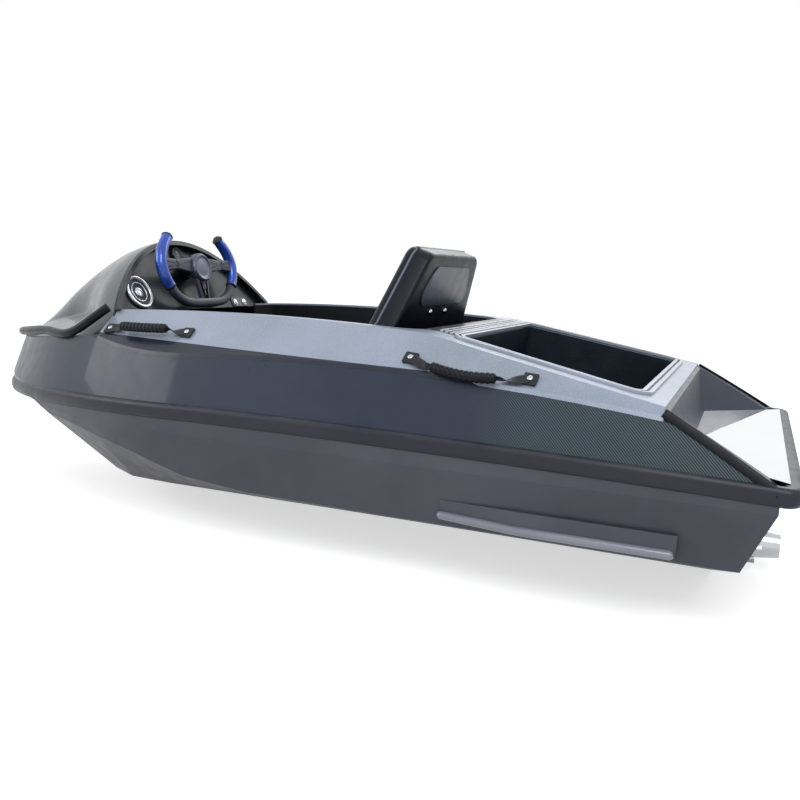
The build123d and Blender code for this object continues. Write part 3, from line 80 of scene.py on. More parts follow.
def smooth_step(values: np.ndarray) -> np.ndarray:
    """Ease values from 0 to 1 as 3t^2 - 2t^3.

    Args:
        values: Numbers that are clipped to the range 0 to 1 first.

    Returns:
        The eased numbers.
    """
    share = np.clip(values, 0.0, 1.0)
    return share * share * (3 - 2 * share)


def superellipse(half_x: float, half_y: float, power: float, count: int) -> np.ndarray:
    """Closed curve |x/a|^n + |y/b|^n = 1, from a circle to a rounded box.

    Args:
        half_x: Half of the curve's width.
        half_y: Half of the curve's height.
        power: The exponent n, 2 for an ellipse.
        count: Number of points.

    Returns:
        Array of count by 2 points, counterclockwise.
    """
    turn = np.arange(count) * TAU / count
    cosine, sine = np.cos(turn), np.sin(turn)
    x = half_x * np.sign(cosine) * np.abs(cosine) ** (2 / power)
    y = half_y * np.sign(sine) * np.abs(sine) ** (2 / power)
    return np.stack([x, y], axis=1)


def evenly(points: np.ndarray, count: int, closed: bool = False) -> np.ndarray:
    """Space points evenly along a chain of points.

    Args:
        points: The chain, one point in each row.
        count: Number of points on the result.
        closed: Whether the last point stands for the first one, and is left out.

    Returns:
        Array of count points.
    """
    length = np.concatenate([[0], np.cumsum(np.linalg.norm(np.diff(points, axis=0), axis=1))])
    wanted = np.linspace(0, length[-1], count, endpoint=not closed)
    return np.stack([np.interp(wanted, length, column) for column in points.T], axis=1)


def smooth_path(points: list, count: int, closed: bool = False) -> np.ndarray:
    """Catmull-Rom curve through the points, spaced evenly along its length.

    Args:
        points: Corner points of two or three coordinates.
        count: Number of points on the result.
        closed: Whether the curve joins its end to its start.

    Returns:
        Array of count points.
    """
    base = np.asarray(points, float)
    if closed:
        knots = np.concatenate([base[-1:], base, base[:2]])
    else:
        knots = np.concatenate([2 * base[:1] - base[1:2], base, 2 * base[-1:] - base[-2:-1]])
    spans = len(knots) - 3
    place = np.linspace(0, spans, spans * CURVE_STEPS + 1)
    index = np.minimum(place.astype(int), spans - 1)
    t = (place - index)[:, None]
    before, start, end, after = (knots[index + k] for k in range(4))
    curve = 0.5 * (2 * start + (end - before) * t + (2 * before - 5 * start + 4 * end - after) * t**2
                   + (3 * start - before - 3 * end + after) * t**3)
    return evenly(curve, count, closed)


def sweep(path: np.ndarray, profile: np.ndarray, up: np.ndarray, closed: bool = False) -> np.ndarray:
    """Carry a profile along a path, kept square to it and upright.

    At each point the side axis is up x tangent and the top axis is tangent x side,
    and the profile's two numbers run along those axes.

    Args:
        path: Array of n by 3 points.
        profile: Array of m by 2 points, or n by m by 2 for a changing profile.
        up: One upright direction, or one for each path point.
        closed: Whether the path joins its end to its start.

    Returns:
        Array of n by m by 3 points.
    """
    if closed:
        tangent = unit(np.roll(path, -1, axis=0) - np.roll(path, 1, axis=0))
    else:
        tangent = unit(np.gradient(path, axis=0))
    side = unit(np.cross(np.broadcast_to(up, path.shape), tangent))
    top = np.cross(tangent, side)
    outline = profile if profile.ndim == 3 else np.broadcast_to(profile, (len(path), *profile.shape))
    return path[:, None, :] + outline[..., :1] * side[:, None, :] + outline[..., 1:] * top[:, None, :]


@dataclass(frozen=True)
class LocalFrame:
    """A place on the boat with its own axes: across, up and out."""

    origin: tuple[float, float, float]
    across: tuple[float, float, float]
    out: tuple[float, float, float]

    def axes(self) -> np.ndarray:
        """Unit vectors across, up and out, one in each row."""
        across = unit(np.array(self.across, float))
        out = unit(np.array(self.out, float))
        return np.stack([across, np.cross(out, across), out])

    def world(self, local: np.ndarray) -> np.ndarray:
        """Turn local points into points of the boat's frame.

        Args:
            local: Array whose last axis is across, up and out.

        Returns:
            The same array in boat coordinates.
        """
        return np.asarray(local, float) @ self.axes() + np.array(self.origin)

    def local(self, points: np.ndarray) -> np.ndarray:
        """Turn boat coordinates into across, up and out."""
        return (points - np.array(self.origin)) @ self.axes().T


def lean_frame(x: float, z: float, lean_deg: float, sign: float) -> LocalFrame:
    """Frame on the middle plane whose out axis leans from level by an angle.

    Args:
        x: Station of the origin.
        z: Height of the origin.
        lean_deg: Angle of the out axis from level, in degrees.
        sign: 1 where the out axis rises, -1 where it falls.

    Returns:
        The frame, with its across axis to port.
    """
    lean = math.radians(lean_deg)
    return LocalFrame((x, 0, z), (0, 1, 0), (math.cos(lean), 0, sign * math.sin(lean)))


WHEEL_FRAME = lean_frame(0.520, 0.717, 13.5, -1)
DASH_FRAME = lean_frame(0.520, 0.594, 27.7, -1)
SEAT_FRAME = lean_frame(-0.150, 0.250, 19.0, 1)
SEAT_BASE_FRAME = LocalFrame((0.116, 0, 0.160), (0, 1, 0), (0, 0, 1))


class Shader:
    """Adds nodes to one node tree and joins them."""

    def __init__(self, tree: bpy.types.NodeTree) -> None:
        """Keep the tree that the nodes go into."""
        self.tree = tree

    def add(self, kind: str, inputs: dict | None = None, **settings) -> bpy.types.Node:
        """Add one node.

        Args:
            kind: Blender's type name of the node.
            inputs: Socket names or numbers with a value or a socket to link.
            settings: Attributes of the node.

        Returns:
            The new node.
        """
        node = self.tree.nodes.new(kind)
        for key, value in settings.items():
            setattr(node, key, value)
        for key, value in (inputs or {}).items():
            if isinstance(value, bpy.types.NodeSocket):
                self.tree.links.new(value, node.inputs[key])
            else:
                node.inputs[key].default_value = value
        return node

    def math(self, operation: str, first, second=0.0, third=0.0) -> bpy.types.NodeSocket:
        """Add a Math node and return its output."""
        node = self.add("ShaderNodeMath", {0: first, 1: second, 2: third}, operation=operation)
        return node.outputs[0]

    def times(self, first, second) -> bpy.types.NodeSocket:
        """Add a Math node that multiplies."""
        return self.math("MULTIPLY", first, second)

    def here(self) -> bpy.types.NodeSocket:
        """Return the object coordinates."""
        return self.add("ShaderNodeTexCoord").outputs["Object"]

    def ramp(self, value, low: float, high: float, start: float = 0.0,
             end: float = 1.0) -> bpy.types.NodeSocket:
        """Add a smooth Map Range node and return its output."""
        inputs = {0: value, 1: low, 2: high, 3: start, 4: end}
        return self.add("ShaderNodeMapRange", inputs, interpolation_type="SMOOTHSTEP").outputs[0]

    def mix(self, share, first, second) -> bpy.types.NodeSocket:
        """Add a colour Mix node and return its output."""
        node = self.add("ShaderNodeMix", data_type="RGBA")
        for socket, value in ((node.inputs[0], share), (node.inputs[6], first), (node.inputs[7], second)):
            if isinstance(value, bpy.types.NodeSocket):
                self.tree.links.new(value, socket)
            else:
                socket.default_value = value
        return node.outputs[2]

    def split(self, vector) -> tuple:
        """Add a Separate XYZ node and return its three outputs."""
        return tuple(self.add("ShaderNodeSeparateXYZ", {0: vector}).outputs)

    def noise(self, scale, detail: float) -> bpy.types.NodeSocket:
        """Add a Noise Texture on object coordinates and return its value."""
        inputs = {"Vector": self.here(), "Scale": scale, "Detail": detail}
        return self.add("ShaderNodeTexNoise", inputs).outputs[0]


def fresh_shader(owner: bpy.types.ID) -> Shader:
    """Empty the node tree of a material or a world and return its helper."""
    owner.use_nodes = True
    owner.node_tree.nodes.clear()
    return Shader(owner.node_tree)


class Effect(Enum):
    """Shader node groups that several finishes share."""

    GRAIN = "surface_grain"
    FLAKE = "metal_flake"
    WEAVE = "twill_weave"
    # Worn edges together with a painted edge highlight.
    WEAR_AND_HIGHLIGHT = "edge_wear_and_highlight"
    DUST = "settled_dust"
    WAVES = "gloss_waves"


def group_tree(effect: Effect, inputs: dict, output: str) -> tuple[Shader, dict]:
    """Start a node group with named inputs and one output.

    Args:
        effect: The group's place in the list of effects.
        inputs: Input names with their usual numbers.
        output: Name of the output.

    Returns:
        The group's shader helper, and its input sockets by name.
    """
    tree = bpy.data.node_groups.new(effect.value, "ShaderNodeTree")
    for name, value in inputs.items():
        socket = tree.interface.new_socket(name, in_out="INPUT", socket_type="NodeSocketFloat")
        socket.default_value = value
    tree.interface.new_socket(output, in_out="OUTPUT", socket_type="NodeSocketFloat")
    shader = Shader(tree)
    entry = shader.add("NodeGroupInput")
    return shader, {name: entry.outputs[name] for name in inputs}


class EffectLibrary:
    """Builds each shared node group once and places it in materials."""

    def __init__(self) -> None:
        """Build every group."""
        self.grain()
        self.flake()
        self.weave()
        self.wear_and_highlight()
        self.dust()
        self.waves()

    def grain(self) -> None:
        """Pebbled grain: small cells with soft valleys."""
        shader, given = group_tree(Effect.GRAIN, {"Scale": 400.0}, "Height")
        place = shader.here()
        inputs = {"Vector": place, "Scale": given["Scale"]}
        cells = shader.add("ShaderNodeTexVoronoi", inputs, feature="SMOOTH_F1")
        fine = shader.noise(given["Scale"], 4.0)
        height = shader.math("ADD", cells.outputs[0], shader.times(fine, 0.4))
        shader.add("NodeGroupOutput", {"Height": height})

    def flake(self) -> None:
        """Metal flake in paint: small cells, each with its own brightness."""
        shader, given = group_tree(Effect.FLAKE, {"Scale": 900.0}, "Sparkle")
        place = shader.here()
        cells = shader.add("ShaderNodeTexVoronoi", {"Vector": place, "Scale": given["Scale"]})
        value = shader.add("ShaderNodeSeparateColor", {0: cells.outputs["Color"]}).outputs[0]
        shader.add("NodeGroupOutput", {"Sparkle": shader.math("POWER", value, 3.0)})

    def weave(self) -> None:
        """Twill cloth under lacquer: two crossing sets of tows, each step moved on by one."""
        shader, given = group_tree(Effect.WEAVE, {"Tow": 0.0016}, "Tone")
        x, _, z = shader.split(shader.here())
        along = shader.math("DIVIDE", x, given["Tow"])
        upward = shader.math("DIVIDE", z, given["Tow"])
        step = shader.math("SUBTRACT", shader.math("FLOOR", along), shader.math("FLOOR", upward))
        over = shader.math("LESS_THAN", shader.math("MODULO", shader.math("ADD", step, 4000.0), 4.0), 1.5)
        across_tow = shader.math("PINGPONG", along, 0.5)
        up_tow = shader.math("PINGPONG", upward, 0.5)
        first = shader.times(over, across_tow)
        second = shader.times(shader.math("SUBTRACT", 1.0, over), up_tow)
        height = shader.math("ADD", first, second)
        tone = shader.math("ADD", shader.times(over, 0.75), shader.times(height, 0.5))
        shader.add("NodeGroupOutput", {"Tone": tone})

    def wear_and_highlight(self) -> None:
        """Mask of rubbed edges, for worn paint and a painted highlight: where a rounded normal leaves the
        true one, broken up by noise.
        """
        shader, given = group_tree(Effect.WEAR_AND_HIGHLIGHT, {"Radius": 0.003, "Amount": 1.0}, "Mask")
        rounded = shader.add("ShaderNodeBevel", {"Radius": given["Radius"]}, samples=4).outputs[0]
        true = shader.add("ShaderNodeNewGeometry").outputs["Normal"]
        product = shader.add("ShaderNodeVectorMath", {0: rounded, 1: true}, operation="DOT_PRODUCT")
        edge = shader.ramp(product.outputs["Value"], 0.99, 0.80)
        broken = shader.ramp(shader.noise(35.0, 6.0), 0.35, 0.65)
        mask = shader.times(shader.times(edge, broken), given["Amount"])
        shader.add("NodeGroupOutput", {"Mask": mask})

    def dust(self) -> None:
        """Dust on faces that look upward, thicker in soft clouds."""
        shader, given = group_tree(Effect.DUST, {"Amount": 0.2}, "Mask")
        _, _, lift = shader.split(shader.add("ShaderNodeNewGeometry").outputs["Normal"])
        facing = shader.ramp(lift, 0.2, 0.95)
        clouds = shader.ramp(shader.noise(9.0, 8.0), 0.35, 0.75)
        mask = shader.times(shader.times(facing, clouds), given["Amount"])
        shader.add("NodeGroupOutput", {"Mask": mask})

    def waves(self) -> None:
        """Slow unevenness of a hand-laid moulding, and fine orange peel."""
        shader, given = group_tree(Effect.WAVES, {"Fine": 0.004}, "Height")
        slow = shader.noise(2.2, 2.0)
        fine = shader.noise(160.0, 2.0)
        height = shader.math("MULTIPLY_ADD", fine, given["Fine"], slow)
        shader.add("NodeGroupOutput", {"Height": height})

    @staticmethod
    def place(shader: Shader, effect: Effect, **inputs) -> bpy.types.NodeSocket:
        """Put one group into a material.

        Args:
            shader: Helper of the material's node tree.
            effect: Which group to place.
            inputs: Values for the group's inputs.

        Returns:
            The group's output.
        """
        node = shader.add("ShaderNodeGroup", node_tree=bpy.data.node_groups[effect.value])
        for name, value in inputs.items():
            node.inputs[name].default_value = value
        return node.outputs[0]


Colour = tuple[float, float, float]
DUST_COLOUR: Colour = (150, 152, 155)
SRGB_FULL = 255
SRGB_KNEE = 0.04045
SRGB_SLOPE = 12.92
SRGB_OFFSET = 0.055
SRGB_POWER = 2.4
# Strength of the worn edges with their painted highlight.
WEAR_AND_HIGHLIGHT_AMOUNT = 0.6


def rgba(colour: Colour, factor: float = 1.0) -> tuple[float, float, float, float]:
    """Turn an sRGB colour of 0 to 255 into Blender's linear colour, by the sRGB formula.

    Args:
        colour: Red, green and blue, 0 to 255.
        factor: Number that the linear colour is multiplied by.

    Returns:
        Linear red, green and blue, and an alpha of 1.
    """
    share = np.array(colour) / SRGB_FULL
    curve = ((share + SRGB_OFFSET) / (1 + SRGB_OFFSET)) ** SRGB_POWER
    linear = np.where(share <= SRGB_KNEE, share / SRGB_SLOPE, curve) * factor
    return (*np.clip(linear, 0, 1).tolist(), 1.0)


@dataclass(frozen=True)
class Finish:
    """One procedural finish. Colours are sRGB, 0 to 255."""

    name: str
    colour: Colour
    tone: Colour
    roughness: float
    metallic: float = 0.0
    coat: float = 0.0
    coat_roughness: float = 0.05
    grain_scale: float = 0.0
    grain_depth: float = 0.0
    flake: float = 0.0
    slow_waves: float = 0.0
    # Lighter colour of the edges: worn paint and a painted highlight.
    wear_and_highlight_colour: Colour | None = None
    wear_and_highlight_radius: float = 0.003
    dust: float = 0.0
    specular: float = 0.5

    def material(self) -> bpy.types.Material:
        """Return the finish's material, built the first time it is asked for."""
        found = bpy.data.materials.get(self.name)
        if found:
            return found
        material = bpy.data.materials.new(self.name)
        shader = fresh_shader(material)
        surface = shader.add("ShaderNodeBsdfPrincipled")
        shader.add("ShaderNodeOutputMaterial", {"Surface": surface.outputs[0]})
        surface.inputs["Metallic"].default_value = self.metallic
        surface.inputs["Coat Weight"].default_value = self.coat
        surface.inputs["Coat Roughness"].default_value = self.coat_roughness
        surface.inputs["Specular IOR Level"].default_value = self.specular
        colour, rough = self.paint(shader)
        colour, rough = self.age(shader, colour, rough)
        shader.tree.links.new(colour, surface.inputs["Base Color"])
        shader.tree.links.new(rough, surface.inputs["Roughness"])
        self.relief(shader, surface)
        return material

    def paint(self, shader: Shader) -> tuple:
        """Blend the two tones in slow clouds, with flake where the paint has it.

        Args:
            shader: Helper of the material's node tree.

        Returns:
            The colour socket and the roughness socket.
        """
        clouds = shader.ramp(shader.noise(3.0, 5.0), 0.3, 0.7)
        colour = shader.mix(clouds, rgba(self.colour), rgba(self.tone))
        if self.flake:
            sparkle = EffectLibrary.place(shader, Effect.FLAKE)
            share = shader.times(sparkle, self.flake)
            colour = shader.mix(share, colour, rgba(self.tone, 3.0))
        scatter = shader.noise(24.0, 6.0)
        low, high = self.roughness * 0.85, self.roughness * 1.2
        return colour, shader.ramp(scatter, 0.25, 0.75, low, min(high, 1.0))

    def age(self, shader: Shader, colour, rough) -> tuple:
        """Lay worn edges with a painted highlight, and dust, over the paint.

        Args:
            shader: Helper of the material's node tree.
            colour: Colour socket so far.
            rough: Roughness socket so far.

        Returns:
            The colour socket and the roughness socket.
        """
        if self.wear_and_highlight_colour:
            # Edges go lighter: worn paint and a painted highlight.
            mask = EffectLibrary.place(shader, Effect.WEAR_AND_HIGHLIGHT, Radius=self.wear_and_highlight_radius, Amount=WEAR_AND_HIGHLIGHT_AMOUNT)
            colour = shader.mix(mask, colour, rgba(self.wear_and_highlight_colour))
            rough = shader.math("MULTIPLY_ADD", mask, 0.2, rough)
        if self.dust:
            mask = EffectLibrary.place(shader, Effect.DUST, Amount=self.dust)
            colour = shader.mix(mask, colour, rgba(DUST_COLOUR))
            rough = shader.math("MULTIPLY_ADD", mask, 0.5, rough)
        return colour, rough

    def relief(self, shader: Shader, surface: bpy.types.Node) -> None:
        """Give the surface its grain or its moulding waves as a bump.

        Args:
            shader: Helper of the material's node tree.
            surface: The Principled BSDF node.
        """
        if self.grain_depth:
            height = EffectLibrary.place(shader, Effect.GRAIN, Scale=self.grain_scale)
            depth = self.grain_depth
        elif self.slow_waves:
            height = EffectLibrary.place(shader, Effect.WAVES)
            depth = self.slow_waves
        else:
            return
        bump = shader.add("ShaderNodeBump", {"Height": height, "Distance": depth, "Strength": 1.0})
        shader.tree.links.new(bump.outputs[0], surface.inputs["Normal"])


@dataclass(frozen=True)
class TopsideFinish(Finish):
    """Dark gelcoat with a field of lacquered twill near the stern."""

    weave_start: float = -0.56
    weave_full: float = -0.74
    tip_slant: float = 0.9
    tip_start: float = -0.94
    tip_full: float = -0.91
    side_from: float = 0.44
    dark_tow: Colour = (5, 9, 13)
    light_tow: Colour = (70, 88, 100)

    def paint(self, shader: Shader) -> tuple:
        """Lay the woven field into the gelcoat, fading in along the side."""
        colour, rough = super().paint(shader)
        mask = self.field(shader)
        tone = EffectLibrary.place(shader, Effect.WEAVE)
        cloth = shader.mix(tone, rgba(self.dark_tow), rgba(self.light_tow))
        return shader.mix(mask, colour, cloth), rough

    def field(self, shader: Shader) -> bpy.types.NodeSocket:
        """Mask of the woven field: between two stations, on the outer sides."""
        x, y, z = shader.split(shader.here())
        start = shader.ramp(x, self.weave_start, self.weave_full)
        slant = shader.math("MULTIPLY_ADD", z, self.tip_slant, x)
        end = shader.ramp(slant, self.tip_start, self.tip_full)
        side = shader.math("GREATER_THAN", shader.math("ABSOLUTE", y), self.side_from)
        normal = shader.split(shader.add("ShaderNodeNewGeometry").outputs["Normal"])
        facing = shader.math("GREATER_THAN", shader.times(normal[1], y), 0.2)
        return shader.times(shader.times(shader.times(start, end), side), facing)


@dataclass(frozen=True)
class DeckFinish(Finish):
    """Silver deck gelcoat with dark paint along its lower edge, and a dark band under the ribs."""

    dark: Colour = (20, 28, 44)
    line_height: float = 0.5222
    line_rise: float = 0.021
    line_end: float = -0.50
    line_fall: float = -1.5
    side_from: float = 0.40
    band: tuple = (-0.486, -0.350)
    band_half: float = 0.330

    def paint(self, shader: Shader) -> tuple:
        """Blend the silver with the dark areas."""
        colour, rough = super().paint(shader)
        x, y, z = shader.split(shader.here())
        past = shader.math("MAXIMUM", shader.math("SUBTRACT", self.line_end, x), 0.0)
        line = shader.math("MULTIPLY_ADD", x, self.line_rise, self.line_height)
        line = shader.math("MULTIPLY_ADD", shader.times(past, past), self.line_fall, line)
        side = shader.math("GREATER_THAN", shader.math("ABSOLUTE", y), self.side_from)
        below = shader.times(shader.math("LESS_THAN", z, line), side)
        inside = shader.times(shader.math("GREATER_THAN", x, self.band[0]),
                              shader.math("LESS_THAN", x, self.band[1]))
        middle = shader.math("LESS_THAN", shader.math("ABSOLUTE", y), self.band_half)
        mask = shader.math("MAXIMUM", below, shader.times(inside, middle))
        return shader.mix(mask, colour, rgba(self.dark)), rough


# Each finish's lighter edge colour paints worn edges and an edge highlight together.
GELCOAT = TopsideFinish("dark_gelcoat", (36, 45, 62), (44, 52, 70), 0.32, coat=0.25,
                        coat_roughness=0.06, flake=0.05, slow_waves=0.002,
                        wear_and_highlight_colour=(96, 102, 116), wear_and_highlight_radius=0.0025, specular=0.2)
LOWER_GELCOAT = Finish("lower_gelcoat", (76, 77, 88), (64, 65, 76), 0.42, coat=0.15,
                       coat_roughness=0.2, flake=0.05, slow_waves=0.002,
                       wear_and_highlight_colour=(104, 106, 116), wear_and_highlight_radius=0.004, specular=0.3)
# Hull gelcoat made lighter to paint the highlight along the sponson rails.
RAIL_PAINTED_HIGHLIGHT = Finish("rail_painted_highlight", (116, 118, 132), (130, 132, 146), 0.22, coat=0.8, coat_roughness=0.08)
SILVER = DeckFinish("silver_gelcoat", (134, 147, 164), (152, 163, 184), 0.36, metallic=0.25, coat=0.3,
                    coat_roughness=0.12, flake=0.18, slow_waves=0.0012, dust=0.04, specular=0.4)
DECK = Finish("deck_gelcoat", (150, 158, 172), (168, 176, 192), 0.38, metallic=0.2, coat=0.3,
              coat_roughness=0.15, flake=0.15, wear_and_highlight_colour=(205, 210, 220), dust=0.06)
HUB_PLATE = Finish("hub_plate", (84, 90, 106), (98, 104, 120), 0.32, metallic=0.5, grain_scale=500,
                   grain_depth=0.0001, wear_and_highlight_colour=(150, 156, 168), wear_and_highlight_radius=0.0015)
GLOSS_FLOOR = Finish("gloss_floor", (240, 243, 247), (246, 248, 250), 0.03, metallic=1.0, slow_waves=0.0008)
HOOD_GLOSS = Finish("hood_gelcoat", (34, 48, 56), (46, 62, 70), 0.24, coat=0.3, coat_roughness=0.05,
                    flake=0.04, slow_waves=0.001, wear_and_highlight_colour=(120, 130, 138), wear_and_highlight_radius=0.002,
                    specular=0.3)
DASH_GLOSS = Finish("dash_gelcoat", (8, 18, 24), (14, 26, 32), 0.38, coat=0.06, coat_roughness=0.10,
                    wear_and_highlight_colour=(50, 60, 68), specular=0.15)
LINER = Finish("cockpit_liner", (14, 18, 24), (20, 24, 32), 0.55, grain_scale=260, grain_depth=0.0006,
               wear_and_highlight_colour=(48, 52, 60), dust=0.06, specular=0.25)
TUB = Finish("tub_liner", (16, 26, 36), (24, 34, 46), 0.40, coat=0.15, coat_roughness=0.2,
             grain_scale=160, grain_depth=0.0003, dust=0.05, specular=0.25)
BUMPER_RUBBER = Finish("bumper_rubber", (30, 32, 44), (38, 40, 52), 0.36, grain_scale=700,
                       grain_depth=0.0001, wear_and_highlight_colour=(84, 86, 100), dust=0.08, specular=0.35)
TRIM_RUBBER = Finish("trim_rubber", (9, 12, 18), (15, 19, 26), 0.34, grain_scale=500, grain_depth=0.0001,
                     wear_and_highlight_colour=(46, 50, 58), dust=0.03, specular=0.2)
VINYL = Finish("black_vinyl", (8, 14, 24), (13, 20, 32), 0.34, grain_scale=420, grain_depth=0.0003,
               wear_and_highlight_colour=(38, 44, 56), dust=0.02, specular=0.22)
PIPING = Finish("piping", (86, 94, 112), (100, 108, 126), 0.40, grain_scale=900, grain_depth=0.0002)
SEAT_PANEL = Finish("seat_panel", (40, 56, 70), (46, 62, 78), 0.30, coat=0.2, coat_roughness=0.06,
                    slow_waves=0.0008, wear_and_highlight_colour=(90, 102, 118), specular=0.3)
WHEEL_VINYL = Finish("wheel_moulding", (54, 58, 74), (66, 70, 88), 0.40, grain_scale=600, grain_depth=0.0002,
                     wear_and_highlight_colour=(100, 104, 118), specular=0.35)
BLUE_GRIP = Finish("blue_grip", (24, 56, 150), (40, 84, 186), 0.26, metallic=0.35, coat=0.6,
                   coat_roughness=0.10, flake=0.2, grain_scale=300, grain_depth=0.0001,
                   wear_and_highlight_colour=(110, 140, 205))
GRIP_CAP = Finish("grip_cap", (20, 26, 36), (28, 34, 46), 0.38, grain_scale=600, grain_depth=0.0002,
                  wear_and_highlight_colour=(80, 88, 102), specular=0.35)
STEEL = Finish("polished_steel", (188, 192, 198), (206, 210, 215), 0.18, metallic=1.0,
               slow_waves=0.0004, wear_and_highlight_colour=(232, 234, 238), wear_and_highlight_radius=0.0015)
CAST_METAL = Finish("cast_alloy", (142, 146, 152), (160, 164, 170), 0.38, metallic=1.0, grain_scale=500,
                    grain_depth=0.0002, wear_and_highlight_colour=(210, 212, 216), wear_and_highlight_radius=0.0015)
DARK_METAL = Finish("dark_metal", (48, 50, 56), (60, 62, 68), 0.42, metallic=0.6, grain_scale=500,
                    grain_depth=0.0002, wear_and_highlight_colour=(140, 142, 148), wear_and_highlight_radius=0.0015)
SPEAKER_RING = Finish("speaker_ring", (196, 202, 210), (214, 220, 228), 0.22, metallic=0.7,
                      slow_waves=0.0003, wear_and_highlight_colour=(235, 238, 242), wear_and_highlight_radius=0.001)
SPEAKER_CONE = Finish("speaker_cone", (22, 28, 34), (32, 38, 44), 0.5, grain_scale=900, grain_depth=0.0003)
STRAP_WEB = Finish("handle_strap", (16, 18, 26), (24, 27, 36), 0.45, grain_scale=900, grain_depth=0.0003,
                   wear_and_highlight_colour=(56, 60, 68), dust=0.04, specular=0.35)


def placed(name: str, data: bpy.types.ID) -> bpy.types.Object:
    """Make an object of a mesh, a lamp or a camera and link it to the scene."""
    made = bpy.data.objects.new(name, data)
    bpy.context.scene.collection.objects.link(made)
    return made


def mesh_object(name: str, points: np.ndarray, faces: list,
                corner_uv: np.ndarray | None) -> bpy.types.Object:
    """Make a smooth-shaded mesh object at the origin.

    Args:
        name: The object's name.
        points: Array of n by 3 points.
        faces: Arrays of vertex numbers, each of m by 3 or m by 4.
        corner_uv: One UV pair for each face corner, or None.

    Returns:
        The new object, linked to the scene.
    """
    mesh = bpy.data.meshes.new(name)
    corners = [face for block in faces for face in block.tolist()]
    mesh.from_pydata(points.reshape(-1, 3).tolist(), [], corners)
    if corner_uv is not None:
        layer = mesh.uv_layers.new(name="UVMap")
        layer.data.foreach_set("uv", corner_uv.astype(np.float32).ravel())
    mesh.polygons.foreach_set("use_smooth", np.ones(len(mesh.polygons), bool))
    mesh.validate()
    mesh.update()
    return placed(name, mesh)


@dataclass
class Surface:
    """A grid of points, rows by columns, joined into quads."""

    points: np.ndarray
    wrap_rows: bool = False
    wrap_columns: bool = True
    cap_ends: bool = True

    def build(self, name: str) -> bpy.types.Object:
        """Make the grid's mesh object, with a centre point closing each end.

        Args:
            name: The object's name.

        Returns:
            The new object.
        """
        rows, columns = self.points.shape[:2]
        last_row = rows if self.wrap_rows else rows - 1
        last_column = columns if self.wrap_columns else columns - 1
        row, column = np.meshgrid(np.arange(last_row), np.arange(last_column), indexing="ij")
        corners = [(row, column), (row + 1, column), (row + 1, column + 1), (row, column + 1)]
        quads = np.stack([(r % rows) * columns + c % columns for r, c in corners], axis=-1).reshape(-1, 4)
        uv = np.stack([np.stack([r / last_row, c / last_column], axis=-1) for r, c in corners], axis=2)
        points = self.points.reshape(-1, 3)
        faces, corner_uv = [quads], [uv.reshape(-1, 2)]
        if self.cap_ends and self.wrap_columns and not self.wrap_rows:
            lead = np.arange(columns)
            follow = (lead + 1) % columns
            for end, (first, second) in ((0, (lead, follow)), (rows - 1, (follow, lead))):
                centre = len(points)
                points = np.concatenate([points, self.points[end].mean(axis=0)[None]])
                fan = [np.full(columns, centre), end * columns + first, end * columns + second]
                faces.append(np.stack(fan, axis=1))
                corner_uv.append(np.full((columns * 3, 2), end / (rows - 1)))
        return mesh_object(name, points, faces, np.concatenate(corner_uv))


def outward(piece: bpy.types.Object) -> bpy.types.Object:
    """Merge a piece's doubles and turn all its faces outwards.

    Args:
        piece: The mesh object to mend.

    Returns:
        The same object.
    """
    work = bmesh.new()
    work.from_mesh(piece.data)
    bmesh.ops.remove_doubles(work, verts=work.verts, dist=MERGE_DISTANCE)
    bmesh.ops.dissolve_degenerate(work, edges=work.edges, dist=SLIVER_DISTANCE)
    bmesh.ops.recalc_face_normals(work, faces=work.faces)
    work.to_mesh(piece.data)
    work.free()
    return piece


def join(name: str, pieces: list) -> bpy.types.Object:
    """Join several mesh objects into one.

    Args:
        name: Name of the joined object.
        pieces: The objects, which are used up.

    Returns:
        The joined object.
    """
    with bpy.context.temp_override(active_object=pieces[0], selected_editable_objects=pieces):
        bpy.ops.object.join()
    pieces[0].name = name
    return pieces[0]


def dress(piece: bpy.types.Object, finish: Finish, body: str, slot: str, *nodes: str) -> bpy.types.Object:
    """Finish a new piece, put it on its body and hide the CAD nodes that it stands for.

    Args:
        piece: The mesh object.
        finish: Its finish.
        body: The CAD body that it rides on.
        slot: The record's material slot; not used.
        nodes: CAD nodes that it replaces.

    Returns:
        The same object.
    """
    if not piece.data.materials:
        piece.data.materials.append(finish.material())
    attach(piece, body)
    if nodes:
        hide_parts(*nodes)
    LOG.info("%s: %d faces", piece.name, len(piece.data.polygons))
    return piece


def lathe(profile: list, place: LocalFrame, count: int, centre: tuple = (0.0, 0.0)) -> np.ndarray:
    """Turn a profile about a local out axis.

    Args:
        profile: Pairs of radius and distance out.
        place: Frame that holds the axis.
        count: Number of steps round.
        centre: Place of the axis, across and up.

    Returns:
        Grid of points, profile by turn.
    """
    radius, out = np.array(profile, float).T
    turn = np.arange(count) * TAU / count
    across = centre[0] + radius[:, None] * np.cos(turn)
    up = centre[1] + radius[:, None] * np.sin(turn)
    return place.world(np.stack([across, up, np.broadcast_to(out[:, None], across.shape)], axis=-1))


def mirrored(points: np.ndarray) -> np.ndarray:
    """Reflect points to the other side of the boat."""
    return points * np.array([1.0, -1.0, 1.0])


def circle_through(first: tuple, middle: tuple, last: tuple) -> tuple[np.ndarray, float]:
    """Centre and radius of the circle through three points of a plane."""
    a, b, c = (np.array(point, float) for point in (first, middle, last))
    sides = np.array([b - a, c - a])
    centre = a + np.linalg.solve(2 * sides, (sides**2).sum(axis=1))
    return centre, float(np.linalg.norm(a - centre))


